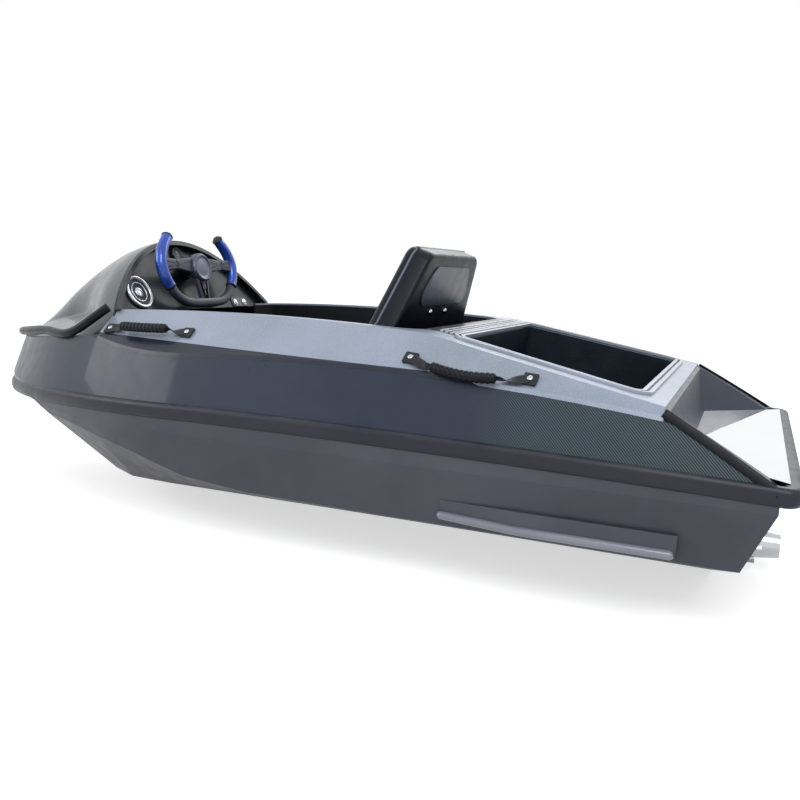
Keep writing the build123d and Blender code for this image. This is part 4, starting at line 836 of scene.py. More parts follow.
def arc_through(first: tuple, middle: tuple, last: tuple, count: int) -> np.ndarray:
    """Circular arc through three points of a plane.

    Args:
        first: Start of the arc.
        middle: A point on it.
        last: End of the arc.
        count: Number of points.

    Returns:
        Array of count by 2 points.
    """
    centre, radius = circle_through(first, middle, last)
    angles = np.unwrap([math.atan2(*(np.array(point) - centre)[::-1]) for point in (first, middle, last)])
    turn = np.linspace(angles[0], angles[-1], count)
    return centre + radius * np.stack([np.cos(turn), np.sin(turn)], axis=1)


def rounded_polygon(corners: list, radius: float,
                    steps: int = CORNER_STEPS) -> tuple[np.ndarray, np.ndarray]:
    """Convex polygon with round corners, and the outward normal at each point.

    Args:
        corners: Corner points, counterclockwise.
        radius: Radius of every corner.
        steps: Points on each corner's arc.

    Returns:
        Points and normals, each an array of n by 2.
    """
    base = np.array(corners, float)
    before = unit(base - np.roll(base, 1, axis=0))
    after = unit(np.roll(base, -1, axis=0) - base)
    normal_in = np.stack([before[:, 1], -before[:, 0]], axis=1)
    normal_out = np.stack([after[:, 1], -after[:, 0]], axis=1)
    cosine = (normal_in * normal_out).sum(axis=1, keepdims=True)
    centre = base - radius * (normal_in + normal_out) / (1 + cosine)
    start = np.arctan2(normal_in[:, 1], normal_in[:, 0])
    bend = np.mod(np.arctan2(normal_out[:, 1], normal_out[:, 0]) - start, TAU)
    turn = start[:, None] + bend[:, None] * np.linspace(0, 1, steps)
    normals = np.stack([np.cos(turn), np.sin(turn)], axis=-1)
    points = centre[:, None] + radius * normals
    return points.reshape(-1, 2), normals.reshape(-1, 2)


def slab(corners: list, radius: float, low: float, high: float, edge: float,
         place: LocalFrame) -> np.ndarray:
    """Plate with round corners and rounded edges.

    Each ring is the outline moved in by edge (1 - sin a) at height edge (1 - cos a)
    from the face, with a from 0 to a right angle, and the same again below.

    Args:
        corners: Outline in the local plane, counterclockwise.
        radius: Radius of the outline's corners.
        low: Distance out of the lower face.
        high: Distance out of the upper face.
        edge: Radius of the rounded edges.
        place: Frame of the plate.

    Returns:
        Grid of points, rings by outline.
    """
    points, normals = rounded_polygon(corners, radius)
    turn = np.linspace(0, math.pi / 2, EDGE_STEPS)
    inset = edge * (1 - np.sin(turn))
    depth = edge * (1 - np.cos(turn))
    insets = np.concatenate([[edge * LID_INSET], inset, inset[::-1], [edge * LID_INSET]])
    outs = np.concatenate([[low], low + edge - edge * np.cos(turn), high - depth[::-1], [high]])
    plane = points[None] - insets[:, None, None] * normals[None]
    level = np.broadcast_to(outs[:, None, None], (*plane.shape[:2], 1))
    return place.world(np.concatenate([plane, level], axis=-1))


def tube(path: np.ndarray, radii: np.ndarray, around: int = TUBE_STEPS) -> np.ndarray:
    """Round tube along a path that is never upright, with its own radius at each point.

    Args:
        path: Array of n by 3 points.
        radii: Radius at each point, or one number.
        around: Points round the tube.

    Returns:
        Grid of points, path by round.
    """
    circle = superellipse(1.0, 1.0, 2.0, around)
    scale = np.broadcast_to(radii, len(path))[:, None, None]
    return sweep(path, circle[None] * scale, UPRIGHT)


def dome_ends(path: np.ndarray, radius: float) -> tuple[np.ndarray, np.ndarray]:
    """Add half-round ends to a tube's path.

    Args:
        path: Array of n by 3 points.
        radius: Radius of the tube.

    Returns:
        The longer path and its radii.
    """
    turn = np.linspace(DOME_START, math.pi / 2, DOME_STEPS)[:-1]
    back = path[0] + radius * np.cos(turn)[:, None] * unit(path[0] - path[1])
    ahead = path[-1] + radius * np.cos(turn)[::-1, None] * unit(path[-1] - path[-2])
    end = radius * np.sin(turn)
    return np.concatenate([back, path, ahead]), np.concatenate([end, np.full(len(path), radius), end[::-1]])


def baked(piece: bpy.types.Object) -> bpy.types.Object:
    """Apply a piece's modifiers to its mesh."""
    graph = bpy.context.evaluated_depsgraph_get()
    piece.data = bpy.data.meshes.new_from_object(piece.evaluated_get(graph))
    piece.modifiers.clear()
    return piece


def ring(name: str, profile: list, place: LocalFrame, count: int, centre: tuple) -> bpy.types.Object:
    """Closed ring turned from a closed profile."""
    grid = np.swapaxes(lathe(profile, place, count, centre), 0, 1)
    return outward(Surface(grid, wrap_rows=True, cap_ends=False).build(name))


def dome(radius: float, foot: float, rise: float, count: int, start: float = CROWN_START) -> list:
    """Profile of a flattened half ball, from its top outwards, for a lathe."""
    turn = np.linspace(start, math.pi / 2, count)
    return [(radius * math.sin(a), foot + rise * math.cos(a)) for a in turn]


def solid(name: str, grid: np.ndarray) -> bpy.types.Object:
    """Closed piece from a grid whose columns wrap round."""
    return outward(Surface(grid).build(name))


def turned(name: str, profile: list, place: LocalFrame, count: int,
           centre: tuple = (0.0, 0.0)) -> bpy.types.Object:
    """Closed piece turned from a profile, with the arguments of lathe."""
    return solid(name, lathe(profile, place, count, centre))


def both_hands(name: str, grid: np.ndarray) -> bpy.types.Object:
    """Closed piece from a port grid and its mirror image."""
    return join(name, [solid(name, grid), solid(name + "_b", mirrored(grid))])


@dataclass
class SteeringWheel:
    """Flat-bottomed wheel moulding with round rim, spokes, plain hub and blue grips."""

    half_width: float = 0.166
    foot: float = 0.113
    rim: tuple = (0.0150, 0.0125)
    spoke_edge: float = 0.005
    grip_radius: float = 0.018
    grip_knots: tuple = ((0.1640, -0.058), (0.1765, -0.036), (0.1845, -0.010), (0.1845, 0.020),
                         (0.168, 0.058), (0.134, 0.096))
    groove_depth: float = 0.0009
    cap_length: float = 0.011

    def moulding(self) -> None:
        """Rim, two side spokes and one lower spoke."""
        half, foot = self.half_width, self.foot
        side = [(half, -0.050, 0), (half - 0.014, -0.074, 0), (0.130, -0.093, 0), (0.096, -0.1075, 0),
                (0.060, -foot + 0.001, 0), (0.030, -foot, 0)]
        other = [(-x, y, z) for x, y, z in side[::-1]]
        path = smooth_path([*side, (0, -foot, 0), *other], 160)
        end = 0.03 + 0.97 * np.sin(np.linspace(0, math.pi / 2, 8))
        taper = np.concatenate([end, np.ones(len(path) - 2 * len(end)), end[::-1]])
        profile = superellipse(*self.rim, 2.4, 32)[None] * taper[:, None, None]
        rim = solid("wheel_rim", WHEEL_FRAME.world(sweep(path, profile, UPRIGHT)))
        arm = [(0.020, -0.020), (0.120, -0.006), (0.176, -0.012), (0.180, 0.030), (0.120, 0.026),
               (0.020, 0.034)]
        arms = both_hands("wheel_arm", slab(arm, 0.009, -0.008, 0.008, self.spoke_edge, WHEEL_FRAME))
        leg = [(-0.018, -foot), (0.018, -foot), (0.034, -0.020), (-0.034, -0.020)]
        lower = solid("wheel_leg", slab(leg, 0.006, -0.008, 0.008, self.spoke_edge, WHEEL_FRAME))
        dress(join("steering_wheel_moulding", [rim, arms, lower]), WHEEL_VINYL, "wheel", "wheel_black",
              "steering_wheel")

    def hub(self) -> None:
        """Plain hub disc with one raised ring and a shallow bowl."""
        profile = [(0.0008, -0.0178), (0.012, -0.0176), (0.026, -0.0168), (0.0345, -0.0160),
                   (0.0355, -0.0170), (0.0375, -0.0192), (0.0405, -0.0192), (0.0425, -0.0178),
                   (0.0455, -0.0140), (0.0462, -0.0100), (0.0462, 0.0080), (0.0445, 0.0100),
                   (0.0200, 0.0104), (0.0008, 0.0104)]
        dress(turned("hub_cap", profile, WHEEL_FRAME, 72), HUB_PLATE, "wheel", "wheel_black", "hub_disc")

    def grips(self) -> None:
        """Blue grips that swell a little at the palm, with dark domed caps."""
        arc = smooth_path(list(self.grip_knots), 110)
        path = np.column_stack([arc, np.zeros(len(arc))])
        share = np.linspace(0, 1, len(path))
        radii = self.grip_radius * (0.955 + 0.05 * np.sin(math.pi * share) ** 2)
        for groove in (0.035, 0.065, 0.935, 0.965):
            radii = radii - self.groove_depth * np.exp(-(((share - groove) / 0.008) ** 2))
        grip = WHEEL_FRAME.world(tube(path, radii))
        dress(both_hands("blue_grips", grip), BLUE_GRIP, "wheel", "grip_blue", "wheel_grips")
        caps = []
        for end, step in ((0, path[0] - path[1]), (-1, path[-1] - path[-2])):
            ahead = unit(step)
            run = np.linspace(-0.001, self.cap_length, 8)[:, None]
            turn = np.linspace(0, math.pi / 2, len(run))[3:]
            radii = self.grip_radius * 1.02 * np.concatenate([[0.97, 1.0, 1.0], np.cos(turn) * 0.45 + 0.55])
            cap = WHEEL_FRAME.world(tube(path[end] + run * ahead, radii))
            caps.append(both_hands(f"cap_{end + 1}", cap))
        dress(join("grip_end_caps", caps), GRIP_CAP, "wheel", "wheel_black", "grip_caps")

    def build(self) -> None:
        """Build the whole wheel."""
        self.moulding()
        self.hub()
        self.grips()


@dataclass
class Instruments:
    """Loudspeaker, gauge and switches on the dash face."""

    face: float = 0.0057
    speaker: tuple = (0.2590, 0.054)
    speaker_radius: float = 0.050
    gauge: tuple = (0.0, 0.183)
    gauge_radius: float = 0.027
    switches: tuple = ((-0.2221, 0.010), (-0.2749, 0.010))

    def fit(self, piece: bpy.types.Object, finish: Finish, *nodes: str) -> None:
        """Dress one piece of the dash."""
        dress(piece, finish, "boat", "instrument_silver", *nodes)

    def loudspeaker(self) -> None:
        """Bright ring, ribbed cone and a dome in the middle."""
        face, r = self.face, self.speaker_radius
        rim = [(r - 0.008, face), (r + 0.003, face), (r + 0.003, face - 0.0070), (r + 0.001, face - 0.0090),
               (r - 0.0030, face - 0.0098), (r - 0.0066, face - 0.0088), (r - 0.0080, face - 0.0062)]
        self.fit(ring("speaker_ring", rim, DASH_FRAME, 96, self.speaker), SPEAKER_RING, "speaker")
        share = np.linspace(0, 1, 28)
        cone_r = (r - 0.0085) * (1 - share) + 0.0165 * share
        cone_out = face - 0.0060 + 0.0035 * smooth_step(share) + 0.0007 * np.sin(share * 5 * TAU)
        cone = [(r - 0.0085, face), *zip(cone_r, cone_out), (0.0008, face - 0.0026), (0.0008, face)]
        self.fit(turned("speaker_cone", cone, DASH_FRAME, 96, self.speaker), SPEAKER_CONE)
        bead = superellipse(0.0022, 0.0022, 2.0, 12) + np.array([0.030, face - 0.0040])
        self.fit(ring("speaker_inner_ring", bead.tolist(), DASH_FRAME, 72, self.speaker), SPEAKER_RING)
        profile = [*dome(0.0160, face - 0.0026, -0.0052, 10, 0.06), (0.0160, face), (0.0008, face)]
        self.fit(turned("speaker_dome", profile, DASH_FRAME, 64, self.speaker), SPEAKER_RING)

    def dial(self) -> None:
        """Round gauge with a turned rim, a sunken dial and its needle."""
        face, r = self.face, self.gauge_radius
        profile = [(0.0008, face - 0.0062), (r - 0.0050, face - 0.0062), (r - 0.0042, face - 0.0092),
                   (r - 0.0025, face - 0.0102), (r - 0.0008, face - 0.0094), (r, face - 0.0070), (r, face),
                   (0.0008, face)]
        self.fit(turned("gauge_case", profile, DASH_FRAME, 72, self.gauge), DARK_METAL, "gauge")
        middle = self.gauge[1]
        needle = [(-0.0010, middle - 0.004), (0.0010, middle - 0.004), (0.0004, middle + 0.017),
                  (-0.0004, middle + 0.017)]
        hand = slab(needle, 0.0003, face - 0.0076, face - 0.0066, 0.0002, DASH_FRAME)
        self.fit(solid("gauge_needle", hand), STEEL)

    def push_switches(self) -> None:
        """Two domed switches in one frame."""
        face = self.face
        (high, middle), (low, _) = self.switches
        low, high = low - 0.019, high + 0.019
        foot, head = middle - 0.016, middle + 0.016
        outline = [(low, foot), (high, foot), (high, head), (low, head)]
        plate = slab(outline, 0.007, face - 0.0028, face, 0.0008, DASH_FRAME)
        self.fit(solid("switch_plate", plate), DARK_METAL)
        knobs = []
        for index, centre in enumerate(self.switches):
            profile = [*dome(0.0088, face - 0.0052, -0.0038, 9), (0.0094, face - 0.0058),
                       (0.0110, face - 0.0050), (0.0110, face), (0.0008, face)]
            knobs.append(turned(f"knob_{index}", profile, DASH_FRAME, 48, centre))
        self.fit(join("switch_domes", knobs), STEEL, "switches")

    def build(self) -> None:
        """Build all the instruments."""
        self.loudspeaker()
        self.dial()
        self.push_switches()


@dataclass
class SeatBack:
    """Hard shell of the backrest with its panel, two bolts and the piping round the seam."""

    low_half: float = 0.288
    top_half: float = 0.200
    shoulder: float = 0.350
    length: float = 0.575
    corner: float = 0.046
    thick: float = 0.034
    piping_radius: float = 0.0034
    piping_out: float = 0.026
    panel: tuple = ((-0.198, 0.427), (0.198, 0.427), (0.138, 0.542), (-0.138, 0.542))
    bolts: tuple = ((-0.060, 0.405), (0.060, 0.405))

    def outline(self, inset: float) -> list:
        """Corners of the backrest moved in by inset."""
        low, top = self.low_half - inset, self.top_half - inset
        return [(-low, inset), (low, inset), (low, self.shoulder), (top, self.length - inset),
                (-top, self.length - inset), (-low, self.shoulder)]

    def build(self) -> None:
        """Build shell, piping, panel and bolts."""
        shell = slab(self.outline(-0.0012), self.corner, -self.thick, self.piping_out, 0.011, SEAT_FRAME)
        dress(solid("seat_shell", shell), VINYL, "boat", "seat_shell", "backrest_shell")
        points, normals = rounded_polygon(self.outline(0.000), self.corner, 14)
        loop = smooth_path(points.tolist(), 360, closed=True)
        loop = np.column_stack([loop, np.full(len(loop), self.piping_out - 0.008)])
        bead = superellipse(self.piping_radius, self.piping_radius, 2.0, 12)
        grid = SEAT_FRAME.world(sweep(loop, bead, UPRIGHT, closed=True))
        dress(outward(Surface(grid, wrap_rows=True).build("seat_piping")), PIPING, "boat", "seat_shell")
        panel = slab(list(self.panel), 0.034, -self.thick - 0.0035, -self.thick + 0.001, 0.0015, SEAT_FRAME)
        dress(solid("seat_panel", panel), SEAT_PANEL, "boat", "seat_shell", "backrest_panel")
        heads = []
        for index, centre in enumerate(self.bolts):
            profile = [*dome(0.0088, -self.thick - 0.0012, -0.0040, 8), (0.0094, -self.thick - 0.0008),
                       (0.0094, -self.thick + 0.002), (0.0008, -self.thick + 0.002)]
            heads.append(turned(f"seat_bolt_{index}", profile, SEAT_FRAME, 40, centre))
        dress(join("seat_bolt_heads", heads), STEEL, "boat", "fastener", "seat_bolts")


@dataclass
class Cushion:
    """Padded piece: a CAD solid's skin blown up by cloth, held down along its seams."""

    node: str
    name: str
    place: LocalFrame
    seams_across: tuple
    seams_up: tuple
    base_out: float
    voxel: float = 0.006
    pressure: float = 4.0
    frames: int = 20
    reach: float = 0.016

    def held(self, points: np.ndarray) -> np.ndarray:
        """Mask of the points that stay: the base and the seam lines of the face."""
        across, up, out = self.place.local(points).T
        near = np.zeros(len(points), bool)
        for place in self.seams_across:
            near |= np.abs(across - place) < self.voxel * 0.55
        for place in self.seams_up:
            near |= np.abs(up - place) < self.voxel * 0.55
        return near | (out < self.base_out)

    def coordinates(self, mesh: bpy.types.Mesh) -> np.ndarray:
        """Vertex positions of a mesh as an array of n by 3."""
        flat = np.empty(len(mesh.vertices) * 3, np.float32)
        mesh.vertices.foreach_get("co", flat)
        return flat.reshape(-1, 3).astype(float)

    def inflate(self, piece: bpy.types.Object) -> None:
        """Run the cloth and keep its shape, moved no further than the reach."""
        rest = self.coordinates(piece.data)
        group = piece.vertex_groups.new(name="held")
        group.add(np.flatnonzero(self.held(rest)).tolist(), 1.0, "REPLACE")
        cloth = piece.modifiers.new("cloth", "CLOTH").settings
        cloth.vertex_group_mass = "held"
        cloth.use_pressure = True
        cloth.uniform_pressure_force = self.pressure
        cloth.effector_weights.gravity = 0.0
        cloth.quality = 6
        cloth.mass = 0.2
        cloth.tension_stiffness = cloth.compression_stiffness = 12.0
        cloth.bending_stiffness = 0.6
        scene = bpy.context.scene
        for step in range(1, self.frames + 1):
            scene.frame_set(step)
        moved = self.coordinates(baked(piece).data) - rest
        scene.frame_set(1)
        size = np.linalg.norm(moved, axis=1, keepdims=True)
        moved = moved * np.minimum(1.0, self.reach / np.maximum(size, MERGE_DISTANCE))
        piece.data.vertices.foreach_set("co", (rest + moved).astype(np.float32).ravel())
        piece.data.update()

    def build(self) -> None:
        """Remesh the node's skin, blow it up, smooth it and dress it."""
        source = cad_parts[self.node]
        mesh = source.data.copy()
        mesh.transform(source.matrix_world)
        piece = placed(self.name, mesh)
        remesh = piece.modifiers.new("remesh", "REMESH")
        remesh.mode = "VOXEL"
        remesh.voxel_size = self.voxel
        remesh.use_smooth_shade = True
        baked(piece)
        self.inflate(piece)
        smooth = piece.modifiers.new("smooth", "SUBSURF")
        smooth.levels = smooth.render_levels = 1
        baked(piece).data.materials.clear()
        dress(piece, VINYL, "boat", "seat_vinyl", self.node)


CUSHIONS = (
    Cushion("backrest_cushion", "backrest_pad", SEAT_FRAME, seams_across=(-0.150, 0.150),
            seams_up=(0.190, 0.350), base_out=0.030),
    Cushion("seat_cushion", "seat_pad", SEAT_BASE_FRAME, seams_across=(-0.150, 0.150),
            seams_up=(-0.130, 0.020), base_out=0.012),
)


@dataclass(frozen=True)
class GrabHandle:
    """Ribbed grip between two straps, which twist down to square screwed plates."""

    station: float
    breadth: float
    turn_deg: float
    span: float = 0.292
    rise: float = 0.021
    sag: float = 0.022
    grip_length: float = 0.160
    grip_radius: float = 0.0122
    ribs: int = 13
    plate_half: float = 0.017
    slope: float = 0.85
    datum_y: float = 0.500
    deck_arc: tuple = ((-1.013, 0.489), (-0.100, 0.523), (0.520, 0.497))

    def deck_height(self, x: float) -> float:
        """Height of the side deck at its datum breadth, the arc through three side-view points."""
        centre, radius = circle_through(*self.deck_arc)
        return centre[1] + math.sqrt(radius**2 - (x - centre[0]) ** 2)

    def place(self) -> LocalFrame:
        """Frame on the port side deck: along the grip, down the slope and out."""
        x, y = self.station, self.breadth
        z = self.deck_height(x) + self.slope * (self.datum_y - y)
        fall = (self.deck_height(x + 0.001) - self.deck_height(x - 0.001)) / 0.002
        along = unit(np.array([1, 0, fall]))
        out = unit(np.cross([0, -1, self.slope], along))
        down = np.cross(out, along)
        turn = math.radians(self.turn_deg)
        axis = math.cos(turn) * along + math.sin(turn) * down
        return LocalFrame((x, y, z), tuple(axis), tuple(out))

    def grip(self) -> np.ndarray:
        """Tube whose radius steps up in rounded ribs and in at both ends."""
        count = self.ribs * 12 + 1
        share = np.linspace(0, 1, count)
        x = (share - 0.5) * self.grip_length
        wave = np.abs(np.sin(share * self.ribs * math.pi)) ** 0.45
        radii = self.grip_radius * 0.86 + 0.0026 * wave
        ends = np.sqrt(np.clip(1 - (np.abs(share - 0.5) * 2) ** 24, 0.05, 1))
        bow = self.rise + 0.002 * (1 - (2 * share - 1) ** 2)
        return tube(np.column_stack([x, self.drop(x), bow]), radii * ends, 24)

    def drop(self, x: np.ndarray) -> np.ndarray:
        """Sag of the handle down the deck's slope, a parabola from plate to plate."""
        return self.sag * np.clip(1 - (2 * x / self.span) ** 2, 0, 1)

    def strap(self, side: float) -> np.ndarray:
        """Flat strap that turns a quarter round on its way from the plate to the grip."""
        half = self.grip_length / 2
        knots = [(self.span / 2 - 0.004, 0, 0.0066), (self.span / 2 - 0.018, 0, 0.0072),
                 (half + 0.016, 0, self.rise * 0.55), (half + 0.003, 0, self.rise * 0.93),
                 (half - 0.014, 0, self.rise)]
        path = smooth_path([(side * x, y, z) for x, y, z in knots], 40)
        path[:, 1] = self.drop(path[:, 0])
        twist = smooth_step(np.linspace(-0.25, 1.1, 40)) * math.pi / 2
        flat = superellipse(0.0125, 0.0018, 4.0, 28)
        cosine, sine = np.cos(twist), np.sin(twist)
        turn = np.stack([cosine, sine, -sine, cosine], axis=-1).reshape(-1, 2, 2)
        width = 1 - 0.42 * smooth_step(np.linspace(-0.1, 1.0, 40))
        profile = np.einsum("mk,nkj->nmj", flat, turn) * width[:, None, None]
        return sweep(path, profile, UPRIGHT)

    def build(self, name: str, node: str) -> list:
        """Build grips and straps on both sides of the boat.

        Args:
            name: Beginning of the pieces' names.
            node: CAD node that grips and straps stand for.

        Returns:
            The plates and the screw heads of both sides, still to be joined.
        """
        place = self.place()
        grips = both_hands(f"{name}_grips", place.world(self.grip()))
        dress(grips, TRIM_RUBBER, "boat", "rubber_black", node)
        straps, plates, screws = [], [], []
        half = self.plate_half
        square = np.array([(-half, -half), (half, -half), (half, half), (-half, half)])
        head = [*dome(0.0068, 0.0078, 0.0026, 8, 0.06), (0.0070, 0.0050), (0.0008, 0.0050)]
        for side in (1.0, -1.0):
            straps.append(both_hands(f"{name}_strap_{side:.0f}", place.world(self.strap(side))))
            middle = np.array([side * self.span / 2, 0.0])
            plate = slab((square + middle).tolist(), 0.004, 0.0004, 0.0058, 0.0012, place)
            plates.append(both_hands(f"{name}_plate_{side:.0f}", plate))
            screws.append(both_hands(f"{name}_screw_{side:.0f}", lathe(head, place, 36, middle)))
        dress(join(f"{name}_straps", straps), STRAP_WEB, "boat", "rubber_black")
        return [plates, screws]


@dataclass
class GrabHandles:
    """The four grab handles with their plates and screws."""

    front: GrabHandle = GrabHandle(station=0.352, breadth=0.455, turn_deg=-3.0, span=0.266, sag=0.010)
    rear: GrabHandle = GrabHandle(station=-0.578, breadth=0.492, turn_deg=-3.6, sag=0.040, rise=0.019)

    def build(self) -> None:
        """Build both pairs, then join their plates and their screws."""
        front_plates, front_screws = self.front.build("front_handle", "front_handles")
        rear_plates, rear_screws = self.rear.build("rear_handle", "rear_handles")
        plates = join("handle_end_plates", front_plates + rear_plates)
        dress(plates, STRAP_WEB, "boat", "fastener", "handle_plates")
        dress(join("handle_screws", front_screws + rear_screws), STEEL, "boat", "fastener")


@dataclass
class PlanOutline:
    """The boat's outline in plan: straight sides, two long bow curves and a round nose."""

    half_length: float = 1.290
    half_beam: float = 0.568
    proud: float = 0.022
    taper_start: float = 0.200
    nose_radius: float = 0.123

    def path(self, stern_x: float, inset: float, count: int) -> np.ndarray:
        """Outline from the port stern round the bow to the starboard stern.

        The side is straight, the bow curve is a circle of radius
        (run^2 + beam^2 - nose^2) / (2 (beam - nose)) tangent to side and nose.

        Args:
            stern_x: Station where both ends stop.
            inset: Distance that the outline is moved in.
            count: Number of points.

        Returns:
            Array of count by 2 points, evenly spaced.
        """
        nose_x = self.half_length - self.proud - self.nose_radius
        run = nose_x - self.taper_start
        spare = self.half_beam - self.nose_radius
        radius = (run * run + self.half_beam**2 - self.nose_radius**2) / (2 * spare)
        sweep_angle = math.atan2(run, radius - self.half_beam)
        bow = np.linspace(0, sweep_angle, 120)
        reach = radius - inset
        bow_x = self.taper_start + reach * np.sin(bow)
        bow_y = self.half_beam - radius + reach * np.cos(bow)
        nose = np.linspace(sweep_angle, math.pi / 2, 60)
        tip = self.nose_radius - inset
        x = np.concatenate([[stern_x], bow_x, nose_x + tip * np.sin(nose)])
        y = np.concatenate([[self.half_beam - inset], bow_y, tip * np.cos(nose)])
        port = np.stack([x, y], axis=1)
        return evenly(np.concatenate([port, port[-2::-1] * np.array([1, -1])]), count)


@dataclass
class Sheer:
    """Height of the bumper's top edge: two arcs, level at their shared peak."""

    peak_z: float = 0.377
    stern_z: float = 0.355
    bow_z: float = 0.318
    half_length: float = 1.290

    def height(self, x: np.ndarray) -> np.ndarray:
        """Height at station x, peak - R + sqrt(R^2 - x^2), with R from each end's drop."""
        drop = np.where(x < 0, self.peak_z - self.stern_z, self.peak_z - self.bow_z)
        radius = (self.half_length**2 + drop**2) / (2 * drop)
        return self.peak_z - radius + np.sqrt(radius**2 - x**2)


@dataclass
class Bumper:
    """Rubber moulding round the hull joint, thicker where it crosses the stern."""

    depth: float = 0.030
    bar_depth: float = 0.044
    centre: float = 0.007
    height: float = 0.042
    stern_x: float = -1.238
    corner: float = 0.030
    points: int = 420

    def profile(self, share: np.ndarray) -> np.ndarray:
        """Rounded bead under a thin upper lip, thicker where it becomes the stern bar.

        Args:
            share: 0 along the sides and 1 along the stern, for each point of the path.

        Returns:
            Array of path by profile by 2, outwards and up.
        """
        bead = superellipse(0.5, self.height / 2, 2.6, 40)
        groove = np.exp(-(((bead[:, 1] - 0.013) / 0.0022) ** 2)) * (bead[:, 0] > 0)
        at_stern = smooth_step(share)[:, None]
        width = self.depth + (self.bar_depth - self.depth) * at_stern
        outs = bead[None, :, 0] * width + self.centre * (1 - at_stern) - 0.0035 * groove
        return np.stack([outs, np.broadcast_to(bead[:, 1], outs.shape)], axis=-1)

    def loop(self, outline: PlanOutline) -> np.ndarray:
        """Closed outline in plan, with a round corner at each end of the stern bar."""
        sides = outline.path(self.stern_x, 0.0, self.points)
        turn = np.linspace(0, math.pi / 2, 10)[1:]
        corner_y = outline.half_beam - self.corner
        around = [self.stern_x - self.corner * np.sin(turn), -corner_y - self.corner * np.cos(turn)]
        around = np.stack(around, axis=1)
        bar_y = np.linspace(-corner_y, corner_y, 120)[1:-1]
        bar = np.stack([np.full(len(bar_y), self.stern_x - self.corner), bar_y], axis=1)
        return np.concatenate([sides, around, bar, around[::-1] * np.array([1, -1])])

    def build(self, outline: PlanOutline, sheer: Sheer) -> None:
        """Carry the bead round the bow and across the stern."""
        plan = self.loop(outline)
        height = sheer.height(plan[:, 0]) - self.height / 2
        path = np.column_stack([plan, height])
        share = (self.stern_x - plan[:, 0]) / self.corner
        grid = sweep(path, self.profile(share) * np.array([-1, 1]), UPRIGHT, closed=True)
        band = outward(Surface(grid, wrap_rows=True).build("bumper_rubber"))
        dress(band, BUMPER_RUBBER, "boat", "rubber_black", "bumper")


@dataclass
class Hood:
    """Thin domed hood: a skirt from the foredeck to the crease and an arch above it."""

    sections: tuple = ((0.440, 0.446, 0.420, 0.616, 0.818), (0.480, 0.442, 0.406, 0.612, 0.815),
                       (0.627, 0.424, 0.338, 0.596, 0.799), (0.717, 0.388, 0.270, 0.580, 0.776),
                       (0.801, 0.345, 0.205, 0.564, 0.741), (0.887, 0.298, 0.158, 0.549, 0.694),
                       (0.976, 0.244, 0.120, 0.535, 0.636), (1.068, 0.182, 0.078, 0.518, 0.566),
                       (1.129, 0.130, 0.048, 0.505, 0.524), (1.165, 0.094, 0.030, 0.494, 0.504),
                       (1.185, 0.056, 0.016, 0.484, 0.490))
    thickness: float = 0.006
    dash_foot: tuple = (0.520, 0.594)
    dash_lean: float = 0.525
    along: int = 110
    around: int = 60

    def section(self, x: np.ndarray, share: np.ndarray) -> np.ndarray:
        """Points of the cross sections.

        The arch is the circle through both creases and the ridge, its radius
        (crease^2 + rise^2) / (2 rise).

        Args:
            x: Stations.
            share: -1 at the starboard foot, 0 at the ridge and 1 at the port foot.

        Returns:
            Breadth and height in the last axis.
        """
        table = smooth_path(list(self.sections), 900)
        foot, crease, crease_z, ridge = (np.interp(x, table[:, 0], table[:, k]) for k in range(1, 5))
        base = np.interp(x, [0.440, 1.185], [0.520, 0.452])
        size = np.abs(share)
        on_arch = np.clip(size / 0.8, 0, 1)
        rise = ridge - crease_z
        radius = (crease**2 + rise**2) / (2 * rise)
        spread = np.arctan2(crease, radius - rise)
        arch_y = radius * np.sin(spread * on_arch)
        arch_z = ridge - radius * (1 - np.cos(spread * on_arch))
        skirt = np.clip((size - 0.8) / 0.2, 0, 1)
        y = arch_y + (foot - crease) * skirt
        z = arch_z + (base - crease_z) * skirt
        return np.stack([np.sign(share) * y, z], axis=-1)

    def build(self) -> None:
        """Build the hood from its raked after edge to the nose."""
        share = np.linspace(-1, 1, 2 * self.around + 1)
        rear = np.full(len(share), self.dash_foot[0])
        for _ in range(12):
            height = self.section(rear, share)[:, 1]
            rear = self.dash_foot[0] + self.dash_lean * (height - self.dash_foot[1])
        reach = np.linspace(0, 1, self.along)[:, None]
        x = rear + (self.sections[-1][0] - rear) * reach
        grid = np.concatenate([x[..., None], self.section(x, np.broadcast_to(share, x.shape))], axis=-1)
        piece = Surface(grid, wrap_columns=False, cap_ends=False).build("hood_shell")
        shell = piece.modifiers.new("shell", "SOLIDIFY")
        shell.thickness = self.thickness
        shell.offset = -1.0
        dress(outward(baked(piece)), HOOD_GLOSS, "boat", "hood_gloss", "hood")


